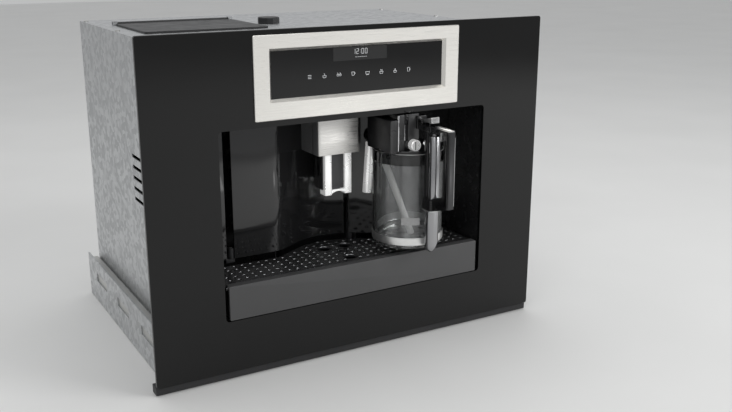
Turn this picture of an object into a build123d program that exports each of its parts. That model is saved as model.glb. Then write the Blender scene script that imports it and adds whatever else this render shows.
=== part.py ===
from build123d import *
import math
import os

os.makedirs("parts", exist_ok=True)

# Built-in coffee machine, in millimetres. X to the right, Y into the cabinet, Z up from the
# cabinet floor. The origin is the middle of the cabinet's front edge, against which the front
# frame closes. The sizes below give Y from the face of the glass, which stands frame_back
# before that edge, and the drawing planes carry that step.

# ---------- clearances ----------
gap = 0.3  # between pieces that move past each other
running = 0.05  # radial play of a shaft in its bore
slip = 0.8  # easy sliding play

# ---------- front ----------
front_width = 595
front_height = 455
toe_height = 12
glass_thickness = 5
frame_depth = 15
frame_skin = 3
frame_inset = 5.5
frame_lip = 3
corner_radius = 3.5
glass_chamfer = 0.6

# ---------- display ----------
bezel_half = 152.5
bezel_margin = 6.5  # below the front's upper edge
bezel_height = 106.5
bezel_proud = 3
bezel_seat = 2
bezel_corner = 2
display_half = 128
display_drop = 20.5  # below the bezel's upper edge
display_height = 60
display_rim = 6
bevel = 3.5
board_sheet = 1.6
board_space = 3
pad_count = 8
pad_pitch = 21.2
pad_size = 6
pad_rise = 24.5
module_half = 40
module_height = 13
plug_half_width = 30
plug_depth = 6

# ---------- niche ----------
niche_half = 201
niche_bottom = 83
niche_drop = 8  # below the bezel's lower edge
niche_corner = 5
liner_wall = 2
niche_depth = 140

# ---------- curved back wall of the niche ----------
wall_sheet = 3
wall_line = 87.5
wall_drop = 3  # below the niche's upper edge
wall_band = 8.5  # dark band between the grille and the wall
bay_half = 92
bay_edge_radius = 27
bay_turn = 31.3
bowl_half = 50
seam_left = -163.5
door_left = -152.5
door_right = 35
seam_right = 41

# ---------- case ----------
sheet = 1.5
case_half = 263
case_bottom = 14
case_drop = 15  # below the front's upper edge
case_back = 405
pan_height = 61
flange_width = 10
screw_radius = 1.5
screw_head = 3.5
screw_rows = (40, 212, 385)
rear_vents = 16
vent_pitch = 14
vent_length = 40
vent_width = 5
vent_drop = 60
vent_x = 100
louvre_rows = 5
louvre_length = 90
louvre_y = 120
louvre_z = 250
pan_vent_length = 60
pan_vent_y = 90

# ---------- cabinet frame and slides ----------
slide_space = 15
cabinet_sheet = 2
cabinet_flange = 40
cabinet_wall_height = 70
cabinet_margin = 10
tie_width = 35
mount_hole_radius = 2.75
mount_inset = 20
mount_spacing_y = 300
web_slot_length = 60
web_slot_height = 14
web_slot_pitch = 120
rail_bottom = 20
rail_top = 65
rail_front = 25
rail_length = 378
rail_sheet = 1.5
member_step = 3.3
outer_lip = 10
middle_lip = 8

# ---------- drip tray ----------
tray_front_half = 195
tray_front_sheet = 4
tray_lip_depth = 12
tray_lip_height = 3
tray_half = 193
tray_wall = 2
tray_lift = 2
runner_width = 6
runner_place = 150
tray_rib_width = 2
tray_rib_ends = 175
tray_rib_rows = (26, 50, 74)
grille_half = 197
grille_rise = 45
grille_sheet = 3
grille_front = 6
grille_line = 85.5
hole_pitch = 12.3
hole_size = 4.4
hole_front = 29
hole_rim = 1.5
grid_x = 2.9
cup_ring_radius = 10.5
cup_ring_hole = 7.5
cup_ring_sink = 1
cup_rings = ((-13.6, 85.5), (19.3, 86.7), (2.9, 36.7))
float_place = (1.8, 63.2)
float_radius = 10
float_stem = 4
float_height = 9
float_guide = 14

# ---------- coffee spout ----------
spout_half = 33
spout_front = 62
spout_drop = 1  # below the wall's upper edge
spout_height = 58
spout_corner = 12
cover_sheet = 1.2
cover_depth = 20
spout_wall = 1.5
guide_depth = 8
leg_inner = 10
leg_outer = 21.5
leg_reach = 59
leg_depth = 16
leg_corner = 3
leg_bore = 2
leg_bore_depth = 12
bridge_rise = 8
bridge_height = 7
body_half = 24
body_depth = 30
body_step = 4
body_hidden = 13

# ---------- door hinge ----------
hinge_offset = 3.5
hinge_setback = 4.5
hinge_pin = 2.5
knuckle_radius = 5
knuckle_height = 15
lug_height = 6

# ---------- milk carafe ----------
jug_x = 95
jug_y = 33
jug_radius = 50.4
jug_wall = 2.4
jug_floor = 4
jug_foot = 5
jug_lift = 12
jug_height = 121.4
ring_proud = 1
ring_low = 6.5
ring_high = 17.5
collar_height = 15.4
collar_width = 5.4
lid_height = 4.2
lid_inset = 2
head_left = 59
head_right = 92.6
head_front = 2
head_back = 66
head_height = 50
knob_recess = 3
recess_height = 13
slot_left = 70
slot_width = 6
slot_depth = 6
slot_drop = 14.5
slot_height = 21.5
channel_left = 47
channel_drop = 7
channel_overhang = 3
nozzle_radius = 6
nozzle_rise = 19
nozzle_reach = 54
nozzle_flange = 9
flange_depth = 6
seal_width = 2
seal_groove = 0.7
nozzle_boss = 3
knob_x = 82
knob_radius = 7
knob_length = 10.5
knob_pin = 3
knob_slot = 1.5
milk_pivot_x = 60
milk_pivot_radius = 8.5
milk_pin = 3
milk_tube_radius = 6.5
milk_tube_wall = 2
milk_tube_back = 79.5
milk_tube_reach = 84
milk_tube_lean = 6
milk_tube_solid = 20
intake_radius = 3
intake_bore = 2
intake_offset = 39
intake_bend = 20
intake_socket = 1.5
intake_drop = 8
intake_clearance = 4

# ---------- carafe handle ----------
grip_front = -76
grip_back = -64
grip_half = 6
grip_trim_width = 4
grip_rise = 69
arm_drop = 13
arm_height = 8
arm_half = 7.5
joint_rise = 58
joint_height = 16
joint_half = 11
joint_ribs = 4
spine_front = -34
spine_back = -19
low_tube_y = -30
low_tube_radius = 9.5
high_tube_y = -34
high_tube_radius = 7.5
lever_front = -46
lever_back = -2
lever_pivot = -8
lever_pin = 1.5
lever_half = 4.5
lever_plate = 6.5
lever_tilt = 4.5

# ---------- brewing ----------
shelf_top = 81
shelf_left = -240
shelf_right = 145
shelf_front = 141
shelf_back = 398
container_half = 58
container_front = 146
container_back = 240
container_height = 91
container_wall = 2
container_corner = 8
container_grip = 20
brew_inner = 62
brew_wall = 6
brew_front = 150
brew_back = 248
brew_height = 249
brew_bridge = 8
brew_floor_rise = 99
brew_x = 0
brew_y = 199
brew_window = 18
guide_slot = 4
chamber_radius = 24
chamber_wall = 5
chamber_height = 52
piston_height = 12
piston_rod = 6
piston_rod_reach = 4
head_radius = 20
head_length = 60

# ---------- grinder ----------
grinder_x = -150
grinder_y = 225
motor_radius = 36
motor_height = 181
motor_flange = 12
groove_count = 8
groove_width = 6
groove_depth = 2
burr_cup_radius = 42
burr_cup_wall = 10
burr_cup_floor = 8
burr_cup_height = 68
burr_shaft = 5
burr_top_radius = 12
burr_low_radius = 22
burr_height = 30
burr_base = 6
burr_ring_rise = 16
burr_teeth = 8
chute_width = 20
chute_height = 28
chute_wall = 3
hopper_half_x = 85
hopper_half_y = 70
hopper_depth = 40
hopper_neck = 18
hopper_throat = 20
hopper_wall = 2
hopper_rim = 5
lid_sheet = 2.5
lid_overlap = 3
lid_corner = 4
lid_pin = 2
lid_hinge_rise = 2.7
lid_ear = 6
ear_half = 4
knuckle_cap = 3
grind_knob_x = -30
grind_knob_radius = 16
grind_knob_height = 9
grind_flats = 12
grind_shaft = 4
grind_shaft_reach = 12
grind_collar = 3

# ---------- water and steam ----------
tank_width = 111
tank_front = 215
tank_back = 375
tank_bottom = 77.8
tank_top = 325
tank_wall = 2.5
tank_corner = 8
tank_play = 0.5
tank_rib = 2
tank_hinge = 4
grip_pocket_depth = 14
grip_pocket_half = 28
grip_pocket_drop = 11
grip_pocket_height = 30
block_left = 80
block_right = 140
block_front = 150
block_back = 215
block_height = 100
block_foot = 8
fin_count = 5
fin_pitch = 10
fin_gap = 4
fin_depth = 12
fitting_radius = 4
fitting_reach = 10
boiler_radius = 28
boiler_x = 110
boiler_y = 275
boiler_height = 125
boiler_flange = 3
boiler_chamfer = 8
pump_radius = 17
pump_half = 55
pump_yoke_half = 25
pump_yoke = 20
pump_nozzle = 5
pump_nozzle_reach = 15
pump_y = 340
pump_height = 50
pump_foot = 4
valve_x = 100
valve_y = 340
valve_half = 12
valve_base = 18
valve_coil = 9.5
valve_height = 45

# ---------- electrics ----------
control_left = -200
control_width = 180
control_bottom = 110
control_height = 190
control_gap = 10
standoff_radius = 3
component_margin = 14
relay_count = 4
relay_pitch = 30
relay_width = 20
relay_height = 28
relay_depth = 16
transformer_width = 54
transformer_depth = 32
capacitor_radius = 9
capacitor_length = 26
connector_height = 9
connector_depth = 12
inlet_margin = 21
inlet_width = 82
inlet_bottom = 24
inlet_height = 38
inlet_flange = 2
inlet_depth = 25
socket_margin = 25
socket_width = 27
socket_height = 20
socket_pins = 3
socket_pin_pitch = 7
socket_pin = 2
rocker_margin = 18
rocker_width = 16
rocker_radius = 9
rocker_proud = 4
rocker_pin = 1.5
rocker_pin_reach = 3

# ---------- worked out from the sizes above ----------
front_half = front_width / 2
frame_back = glass_thickness + frame_depth
bezel_top = front_height - bezel_margin
bezel_bottom = bezel_top - bezel_height
display_top = bezel_top - display_drop
display_bottom = display_top - display_height
niche_top = bezel_bottom - niche_drop
wall_top = niche_top - wall_drop
spout_top = wall_top - spout_drop
spout_bottom = spout_top - spout_height
case_top = front_height - case_drop
cover_top = case_top + sheet
pan_top = case_bottom + pan_height
pan_inside = case_bottom + sheet
cabinet_half = case_half + slide_space
cabinet_back = case_back + cabinet_margin
cabinet_span = (frame_back, cabinet_back)
mount_spacing_x = 2 * (cabinet_half - mount_inset)
rail_outer_face = cabinet_half - cabinet_sheet
rail_span = (rail_front, rail_front + rail_length)
wall_face = wall_line - wall_sheet / 2
wall_back = wall_line + wall_sheet / 2
grille_top = niche_bottom + grille_rise
grille_bottom = grille_top - grille_sheet
tray_floor = niche_bottom + tray_lift
wall_bottom = grille_top + wall_band
jug_bottom = grille_top + jug_lift
jug_top = jug_bottom + jug_height
jug_axis = (jug_x, jug_y)
collar_top = jug_top + collar_height
lid_top = collar_top + lid_height
head_top = lid_top + head_height
nozzle_height = lid_top + nozzle_rise
nozzle_back = jug_x + nozzle_flange + 2
knob_height = lid_top + knob_radius + 0.4
milk_pivot_height = lid_top + milk_pivot_radius + 0.5
base_ring_radius = jug_radius + ring_proud
arm_top = head_top - arm_drop
arm_bottom = arm_top - arm_height
joint_bottom = jug_bottom + joint_rise
joint_top = joint_bottom + joint_height
grip_bottom = jug_bottom + grip_rise
lever_axis = arm_top + lever_pin + 2
hinge_x = door_left - hinge_offset
hinge_y = wall_line + hinge_setback
brew_axis = (brew_x, brew_y)
brew_floor = shelf_top + brew_floor_rise
brew_top = shelf_top + brew_height
bridge_level = brew_floor + brew_bridge
grinder_axis = (grinder_x, grinder_y)
cup_floor = shelf_top + motor_height
cup_top = cup_floor + burr_cup_height
hopper_left = grinder_x - hopper_half_x
hopper_right = grinder_x + hopper_half_x
hopper_front = grinder_y - hopper_half_y
hopper_back = grinder_y + hopper_half_y
hopper_fold = case_top - hopper_depth
grind_knob_place = (grind_knob_x, grinder_y)
tank_left = case_half - tank_width
inlet_right = case_half - inlet_margin
inlet_left = inlet_right - inlet_width
inlet_top = inlet_bottom + inlet_height
inlet_mid = inlet_bottom + inlet_height / 2
socket_x = inlet_right - socket_margin
rocker_x = inlet_left + rocker_margin
pieces = {}


# ---------- drawing helpers ----------
def flat_at(z):
    """The level plane at a height."""
    return Plane(origin=(0, -frame_back, z), x_dir=(1, 0, 0), z_dir=(0, 0, 1))


def facing(y):
    """The plane that faces the front; its own axes are X and Z."""
    return Plane(origin=(0, y - frame_back, 0), x_dir=(1, 0, 0), z_dir=(0, -1, 0))


def across(x):
    """The plane that faces right; its own axes are Y and Z."""
    return Plane(origin=(x, -frame_back, 0), x_dir=(0, 1, 0), z_dir=(1, 0, 0))


def slab(x, y, z, mode=Mode.ADD):
    """A block between two values on each axis."""
    with BuildSketch(flat_at(min(z))) as face:
        with Locations((sum(x) / 2, sum(y) / 2)):
            Rectangle(abs(x[1] - x[0]), abs(y[1] - y[0]))
    extrude(face.sketch, amount=max(z) - min(z), mode=mode)


def posts(places, radius, z, mode=Mode.ADD):
    """Round bars along Z."""
    with BuildSketch(flat_at(z[0])) as face:
        with Locations(*places):
            Circle(radius)
    extrude(face.sketch, amount=z[1] - z[0], mode=mode)


def post(place, radius, z, mode=Mode.ADD):
    """One round bar along Z."""
    posts([place], radius, z, mode)


def bar_x(place, radius, x, mode=Mode.ADD):
    """A round bar along X; place is (Y, Z)."""
    with BuildSketch(across(x[0])) as face:
        with Locations(place):
            Circle(radius)
    extrude(face.sketch, amount=x[1] - x[0], mode=mode)


def bar_y(place, radius, y, mode=Mode.ADD):
    """A round bar along Y; place is (X, Z)."""
    with BuildSketch(facing(y[1])) as face:
        with Locations(place):
            Circle(radius)
    extrude(face.sketch, amount=y[1] - y[0], mode=mode)


def ring_y(place, outer, inner, y, mode=Mode.ADD):
    """A round ring along Y; place is (X, Z)."""
    with BuildSketch(facing(y[1])) as face:
        with Locations(place):
            Circle(outer)
            Circle(inner, mode=Mode.SUBTRACT)
    extrude(face.sketch, amount=y[1] - y[0], mode=mode)


def upright(x, z, y, radius, mode=Mode.ADD):
    """A plate facing the front, with rounded corners."""
    with BuildSketch(facing(y[1])) as face:
        with Locations((sum(x) / 2, sum(z) / 2)):
            RectangleRounded(x[1] - x[0], z[1] - z[0], radius)
    extrude(face.sketch, amount=y[1] - y[0], mode=mode)


def bay_outline(flat):
    """Plan line of the niche's back: flat, soft turn in, slope, round bowl, and the same mirrored."""
    start = Line((-niche_half, flat), (-bay_half, flat))
    turn_in = JernArc(start @ 1, start % 1, bay_edge_radius, bay_turn)
    run = (-bowl_half - (turn_in @ 1).X) / (turn_in % 1).X
    slope = Line(turn_in @ 1, turn_in @ 1 + (turn_in % 1) * run)
    JernArc(slope @ 1, slope % 1, bowl_half / math.sin(math.radians(bay_turn)), -bay_turn)
    mirror(about=Plane.YZ)


with BuildLine() as back_wall_line:
    bay_outline(wall_line)

with BuildSketch() as behind_wall:
    with BuildLine():
        add(back_wall_line.line)
        Polyline(
            (niche_half, wall_line),
            (niche_half, niche_depth),
            (-niche_half, niche_depth),
            (-niche_half, wall_line),
        )
    make_face()
    trace(back_wall_line.line, line_width=wall_sheet)


def curved_wall(left, right, bottom, top):
    """The stretch of the curved back wall between two X values."""
    with BuildSketch(flat_at(bottom)) as strip:
        trace(back_wall_line.line, line_width=wall_sheet)
        with Locations(((left + right) / 2, wall_line)):
            Rectangle(right - left, niche_half, mode=Mode.INTERSECT)
    extrude(strip.sketch, amount=top - bottom)


# ---------- cabinet frame and slides ----------
with BuildPart() as cabinet_frame:
    for side in (-1, 1):
        slab(
            (side * (cabinet_half - cabinet_flange), side * cabinet_half),
            cabinet_span,
            (0, cabinet_sheet),
        )
        slab((side * rail_outer_face, side * cabinet_half), cabinet_span, (0, cabinet_wall_height))
    slab(
        (-cabinet_half, cabinet_half),
        (cabinet_back - tie_width, cabinet_back),
        (0, cabinet_sheet),
    )
    with BuildSketch(flat_at(0)) as mount_holes:
        with Locations((0, sum(cabinet_span) / 2)):
            with GridLocations(mount_spacing_x, mount_spacing_y, 2, 2):
                Circle(mount_hole_radius)
    extrude(mount_holes.sketch, amount=cabinet_sheet, mode=Mode.SUBTRACT)
    with BuildSketch(across(-cabinet_half)) as web_slots:
        with Locations((sum(cabinet_span) / 2, (rail_bottom + rail_top) / 2)):
            with GridLocations(web_slot_pitch, 1, 3, 1):
                Rectangle(web_slot_length, web_slot_height)
    extrude(web_slots.sketch, amount=2 * cabinet_half, mode=Mode.SUBTRACT)
pieces["cabinet_frame"] = cabinet_frame


def slide_member(steps, lip):
    """A channel of each slide, one step inside the member that carries it."""
    low = rail_bottom + steps * (rail_sheet + gap)
    high = rail_top - steps * (rail_sheet + gap)
    outer = rail_outer_face - steps * member_step
    for side in (-1, 1):
        slab((side * (outer - rail_sheet), side * outer), rail_span, (low, high))
        for edge in ((low, low + rail_sheet), (high - rail_sheet, high)):
            slab((side * (outer - lip), side * outer), rail_span, edge)


with BuildPart() as outer_slides:
    slide_member(0, outer_lip)
pieces["outer_slides"] = outer_slides

with BuildPart() as middle_slides:
    slide_member(1, middle_lip)
pieces["middle_slides"] = middle_slides

with BuildPart() as inner_slides:
    inner_low = rail_bottom + 2 * (rail_sheet + gap)
    inner_high = rail_top - 2 * (rail_sheet + gap)
    inner_reach = rail_outer_face - member_step - rail_sheet - gap
    for side in (-1, 1):
        slab(
            (side * case_half, side * (case_half + rail_sheet)),
            rail_span,
            (inner_low, inner_high),
        )
        for edge in ((inner_low, inner_low + rail_sheet), (inner_high - rail_sheet, inner_high)):
            slab((side * case_half, side * inner_reach), rail_span, edge)
pieces["inner_slides"] = inner_slides

# ---------- case ----------
with BuildPart() as base_pan:
    slab((-case_half, case_half), (frame_back, case_back), (case_bottom, pan_top))
    slab(
        (-case_half + sheet, case_half - sheet),
        (frame_back + sheet, case_back - sheet),
        (pan_inside, pan_top),
        Mode.SUBTRACT,
    )
    slab(
        (inlet_left + sheet, inlet_right - sheet),
        (case_back - sheet, case_back),
        (inlet_bottom + sheet, inlet_top - sheet),
        Mode.SUBTRACT,
    )
    with BuildSketch(flat_at(case_bottom)) as pan_vents:
        with Locations((0, pan_vent_y)):
            with GridLocations(pan_vent_length + 20, 3 * vent_width, 4, 3):
                Rectangle(pan_vent_length, vent_width)
    extrude(pan_vents.sketch, amount=sheet, mode=Mode.SUBTRACT)
pieces["base_pan"] = base_pan

tank_lid_axis = (tank_left + tank_hinge, tank_top + 3)


def screw_places(side):
    """The middle of each screw along a side's upper flange."""
    return [(side * (case_half - flange_width / 2), row) for row in screw_rows]


def side_panel(side):
    """A flat side sheet with a flange along its upper edge."""
    outer = side * case_half
    span = (frame_back, case_back - sheet)
    slab((outer - side * sheet, outer), span, (pan_top, case_top))
    slab((outer - side * flange_width, outer), span, (case_top - sheet, case_top))
    posts(screw_places(side), screw_radius, (case_top - sheet, case_top), Mode.SUBTRACT)


with BuildPart() as side_panel_left:
    side_panel(-1)
    with BuildSketch(across(-case_half)) as louvres:
        with Locations((louvre_y, louvre_z)):
            with GridLocations(1, 3 * vent_width, 1, louvre_rows):
                Rectangle(louvre_length, vent_width)
    extrude(louvres.sketch, amount=sheet, mode=Mode.SUBTRACT)
pieces["side_panel_left"] = side_panel_left

with BuildPart() as side_panel_right:
    side_panel(1)
    ledge = tank_bottom - gap
    slab(
        (case_half - sheet, case_half),
        (tank_front - tank_play, tank_back + tank_play),
        (ledge, tank_lid_axis[1] + 2 * lid_pin),
        Mode.SUBTRACT,
    )
    slab((tank_left, case_half), (tank_front, tank_back), (ledge - sheet, ledge))
pieces["side_panel_right"] = side_panel_right

with BuildPart() as rear_panel:
    slab((-case_half, case_half), (case_back - sheet, case_back), (pan_top, case_top))
    with BuildSketch(facing(case_back)) as vents:
        with Locations((vent_x, case_top - vent_drop)):
            with GridLocations(vent_pitch, 1, rear_vents, 1):
                Rectangle(vent_width, vent_length)
    extrude(vents.sketch, amount=sheet, mode=Mode.SUBTRACT)
pieces["rear_panel"] = rear_panel

lid_hinge_z = cover_top + gap + lid_hinge_rise
lid_hinge_y = hopper_back + lid_ear - 1

with BuildPart() as top_cover:
    slab((-case_half, case_half), (frame_back, case_back), (case_top, cover_top))
    slab(
        (hopper_left + hopper_wall, hopper_right - hopper_wall),
        (hopper_front + hopper_wall, hopper_back - hopper_wall),
        (case_top, cover_top),
        Mode.SUBTRACT,
    )
    for side in (-1, 1):
        posts(screw_places(side), screw_radius + running, (case_top, cover_top), Mode.SUBTRACT)
    for start in (hopper_left - lid_ear, hopper_right):
        ear = (start, start + lid_ear)
        slab(ear, (lid_hinge_y - ear_half, lid_hinge_y + ear_half), (cover_top, lid_hinge_z + knuckle_cap))
        bar_x((lid_hinge_y, lid_hinge_z), lid_pin + running, ear, Mode.SUBTRACT)
    post(grind_knob_place, grind_shaft + running, (case_top, cover_top), Mode.SUBTRACT)
pieces["top_cover"] = top_cover

with BuildPart() as case_screws:
    for side in (-1, 1):
        posts(screw_places(side), screw_radius - running, (case_top - 2 * sheet, cover_top))
        with BuildSketch(flat_at(cover_top)) as heads:
            with Locations(*screw_places(side)):
                RegularPolygon(screw_head, 6)
        extrude(heads.sketch, amount=sheet)
pieces["case_screws"] = case_screws

# ---------- front ----------
cut_half = display_half + display_rim
cut_bottom = display_bottom - display_rim - 1
cut_top = display_top + display_rim + 1
plug_half = cut_half - running
plug_span = (cut_bottom + running, cut_top - running)
liner_outer_x = (-niche_half - liner_wall, niche_half + liner_wall)
liner_outer_z = (niche_bottom - liner_wall, niche_top + liner_wall)
opening_x = (-niche_half, niche_half)
opening_z = (niche_bottom, niche_top)

with BuildPart() as front_frame:
    plate_half = front_half - frame_inset
    slab(
        (-plate_half, plate_half),
        (glass_thickness, glass_thickness + frame_skin),
        (1, front_height - bezel_proud),
    )
    slab((-front_half, front_half), (glass_thickness, frame_back), (1, toe_height))
    slab(
        (-case_half - frame_lip, case_half + frame_lip),
        (glass_thickness, frame_back),
        (toe_height, case_top + 2 * frame_lip),
    )
    slab(
        (-case_half + frame_lip, case_half - frame_lip),
        (glass_thickness + frame_skin, frame_back),
        (toe_height + sheet, case_top),
        Mode.SUBTRACT,
    )
    upright(
        liner_outer_x,
        liner_outer_z,
        (glass_thickness, frame_back),
        niche_corner + liner_wall,
        Mode.SUBTRACT,
    )
    slab(
        (-display_half, display_half),
        (glass_thickness, frame_back),
        (display_bottom, display_top),
        Mode.SUBTRACT,
    )
pieces["front_frame"] = front_frame

with BuildPart() as front_glass:
    upright((-front_half, front_half), (toe_height, front_height), (0, glass_thickness), corner_radius)
    chamfer(front_glass.faces().sort_by(Axis.Y)[0].edges(), glass_chamfer)
    upright(opening_x, opening_z, (0, glass_thickness), niche_corner, Mode.SUBTRACT)
    upright((-cut_half, cut_half), (cut_bottom, cut_top), (0, glass_thickness), bezel_corner, Mode.SUBTRACT)
pieces["front_glass"] = front_glass

with BuildPart() as display_bezel:
    upright((-bezel_half, bezel_half), (bezel_bottom, bezel_top), (-bezel_proud, 0), bezel_corner)
    upright((-plug_half, plug_half), plug_span, (0, bezel_seat), bezel_corner)
    window_middle = (0, (display_bottom + display_top) / 2)
    with BuildSketch(facing(-bezel_proud)) as window_front:
        with Locations(window_middle):
            Rectangle(2 * (display_half + bevel), display_height + 2 * bevel)
    with BuildSketch(facing(bezel_seat)) as window_back:
        with Locations(window_middle):
            Rectangle(2 * display_half, display_height)
    loft(sections=[window_front.sketch, window_back.sketch], mode=Mode.SUBTRACT)
    chamfer(display_bezel.faces().sort_by(Axis.Y)[0].outer_wire().edges(), glass_chamfer)
pieces["display_bezel"] = display_bezel

with BuildPart() as display_glass:
    upright((-plug_half, plug_half), plug_span, (bezel_seat, glass_thickness), bezel_corner)
pieces["display_glass"] = display_glass

with BuildPart() as touch_board:
    board_front = glass_thickness + board_space
    board_rear = board_front + board_sheet
    slab(
        (-display_half + gap, display_half - gap),
        (board_front, board_rear),
        (display_bottom + gap, display_top - gap),
    )
    behind_glass = (glass_thickness, board_front)
    module_top = display_top - display_rim
    slab((-module_half, module_half), behind_glass, (module_top - module_height, module_top))
    with BuildSketch(facing(board_front)) as pads:
        with Locations((0, display_bottom + pad_rise)):
            with GridLocations(pad_pitch, 1, pad_count, 1):
                Rectangle(pad_size, pad_size)
    extrude(pads.sketch, amount=board_space)
    slab(
        (-plug_half_width, plug_half_width),
        (board_rear, board_rear + plug_depth),
        (display_bottom + display_rim, display_bottom + display_rim + connector_height),
    )
pieces["touch_board"] = touch_board

# ---------- niche ----------
with BuildPart() as niche_liner:
    upright(liner_outer_x, liner_outer_z, (glass_thickness, niche_depth), niche_corner + liner_wall)
    upright(
        opening_x,
        opening_z,
        (glass_thickness, niche_depth - liner_wall),
        niche_corner,
        Mode.SUBTRACT,
    )
    slab(
        (-brew_inner - brew_wall, brew_inner + brew_wall),
        (niche_depth - liner_wall, niche_depth),
        (niche_bottom + 1, wall_top),
        Mode.SUBTRACT,
    )
pieces["niche_liner"] = niche_liner

lug_top = wall_bottom - gap
fixed_top = niche_top - niche_corner

with BuildPart() as niche_wall_left:
    curved_wall(-niche_half, seam_left, wall_bottom, fixed_top)
    slab(
        (seam_left - lug_height, hinge_x + knuckle_radius),
        (hinge_y - knuckle_radius, hinge_y + knuckle_radius),
        (lug_top - lug_height, lug_top),
    )
    slab(
        (seam_left - lug_height, seam_left),
        (wall_back - sheet, hinge_y + knuckle_radius),
        (lug_top - lug_height, wall_bottom + lug_height),
    )
pieces["niche_wall_left"] = niche_wall_left

with BuildPart() as niche_wall_right:
    curved_wall(seam_right, niche_half, wall_bottom, fixed_top)
pieces["niche_wall_right"] = niche_wall_right

with BuildPart() as steam_nozzle:
    nozzle_place = (jug_x, nozzle_height)
    bar_y(nozzle_place, nozzle_flange, (wall_face - flange_depth, wall_face))
    bar_y(nozzle_place, nozzle_radius, (nozzle_reach, wall_face))
    bar_y(nozzle_place, nozzle_radius / 2, (nozzle_reach, nozzle_reach + 10), Mode.SUBTRACT)
    chamfer(steam_nozzle.edges().group_by(Axis.Y)[0], 1)
    for groove in (nozzle_reach + seal_width, nozzle_reach + 3 * seal_width):
        ring_y(
            nozzle_place,
            nozzle_radius + seal_groove,
            nozzle_radius - seal_groove,
            (groove, groove + seal_width),
            Mode.SUBTRACT,
        )
pieces["steam_nozzle"] = steam_nozzle

with BuildPart() as hinge_pins:
    post((hinge_x, hinge_y), hinge_pin, (lug_top, wall_bottom + knuckle_height + gap))
    post((hinge_x, hinge_y), hinge_pin, (wall_top - knuckle_height - gap, niche_top))
pieces["hinge_pins"] = hinge_pins

# ---------- service door with the coffee spout housing ----------
with BuildPart() as door_panel:
    curved_wall(door_left, door_right, wall_bottom, wall_top)
    for start in (wall_bottom, wall_top - knuckle_height):
        band = (start, start + knuckle_height)
        slab((hinge_x + hinge_pin + 1, door_left + knuckle_radius), (wall_face, hinge_y), band)
        post((hinge_x, hinge_y), knuckle_radius, band)
        post((hinge_x, hinge_y), hinge_pin + running, band, Mode.SUBTRACT)
pieces["door_panel"] = door_panel

core_front = spout_front + cover_sheet
core_half = spout_half - cover_sheet
inside_front = core_front + spout_wall
inside_half = core_half - spout_wall
cover_back = spout_front + cover_depth
spout_span = (spout_bottom, spout_top)


def spout_plan(half, front, radius):
    """Plan of a block that is rounded at its two front corners and runs back to the door."""
    with BuildSketch(flat_at(spout_bottom)) as plan:
        with Locations((0, (front + niche_depth) / 2)):
            Rectangle(2 * half, niche_depth - front)
        fillet(plan.vertices().group_by(Axis.Y)[0], radius)
    return plan.sketch


spout_shell = spout_plan(spout_half, spout_front, spout_corner)
spout_core = spout_plan(core_half, core_front, spout_corner - cover_sheet)
spout_inside = spout_plan(inside_half, inside_front, spout_corner - cover_sheet - spout_wall)

with BuildPart() as spout_housing:
    extrude(spout_shell, amount=spout_height)
    slab((-spout_half, spout_half), (spout_front, cover_back), spout_span, Mode.SUBTRACT)
    extrude(spout_core, amount=spout_height)
    extrude(spout_inside, amount=spout_height - spout_wall, mode=Mode.SUBTRACT)
    for side in (-1, 1):
        slab(
            (side * (body_half + gap), side * (inside_half + 1)),
            (cover_back, cover_back + guide_depth),
            (spout_bottom, spout_top - spout_wall),
        )
    extrude(flat_at(spout_bottom) * behind_wall.sketch, amount=spout_height, mode=Mode.SUBTRACT)
pieces["spout_housing"] = spout_housing

with BuildPart() as spout_cover:
    extrude(spout_shell, amount=spout_height)
    slab((-spout_half, spout_half), (cover_back, niche_depth), spout_span, Mode.SUBTRACT)
    extrude(spout_core, amount=spout_height, mode=Mode.SUBTRACT)
pieces["spout_cover"] = spout_cover

legs_front = inside_front + slip
legs_back = legs_front + leg_depth
body_front = legs_front + body_step
body_top = spout_bottom + body_hidden
leg_bottom = spout_bottom - leg_reach
bridge_bottom = leg_bottom + bridge_rise

with BuildPart() as spout_body:
    slab((-body_half, body_half), (body_front, body_front + body_depth), (bridge_bottom, body_top))
    fillet(spout_body.edges().filter_by(Axis.Z), body_step)
    for side in (-1, 1):
        slab(
            (side * (leg_inner - running), side * (leg_outer + running)),
            (body_front, legs_back + running),
            (bridge_bottom, body_top),
            Mode.SUBTRACT,
        )
pieces["spout_body"] = spout_body

with BuildPart() as spout_legs:
    for side in (-1, 1):
        slab((side * leg_inner, side * leg_outer), (legs_front, legs_back), (leg_bottom, body_top))
    fillet(spout_legs.edges().filter_by(Axis.Z).group_by(Axis.Y)[0], leg_corner)
    slab(
        (-leg_inner - 1, leg_inner + 1),
        (legs_front + 0.5, body_front),
        (bridge_bottom, bridge_bottom + bridge_height),
    )
    with BuildSketch(facing(body_front)) as arch:
        with Locations((0, leg_bottom)):
            Ellipse(leg_inner, bridge_rise + 4)
    extrude(arch.sketch, amount=leg_depth, mode=Mode.SUBTRACT)
    leg_middle = (leg_inner + leg_outer) / 2
    posts(
        [(side * leg_middle, legs_front + leg_depth / 2) for side in (-1, 1)],
        leg_bore,
        (leg_bottom, leg_bottom + leg_bore_depth),
        Mode.SUBTRACT,
    )
pieces["spout_legs"] = spout_legs

# ---------- drip tray ----------
with BuildPart() as tray_front:
    tray_front_x = (-tray_front_half, tray_front_half)
    tray_front_top = grille_top + tray_lip_height
    slab(tray_front_x, (0, tray_front_sheet), (niche_bottom + 1, tray_front_top))
    slab(tray_front_x, (0, tray_lip_depth), (grille_top, tray_front_top))
    fillet(tray_front.edges().filter_by(Axis.X).sort_by(lambda e: e.center().Z - e.center().Y)[-1], 1)
pieces["tray_front"] = tray_front


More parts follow.
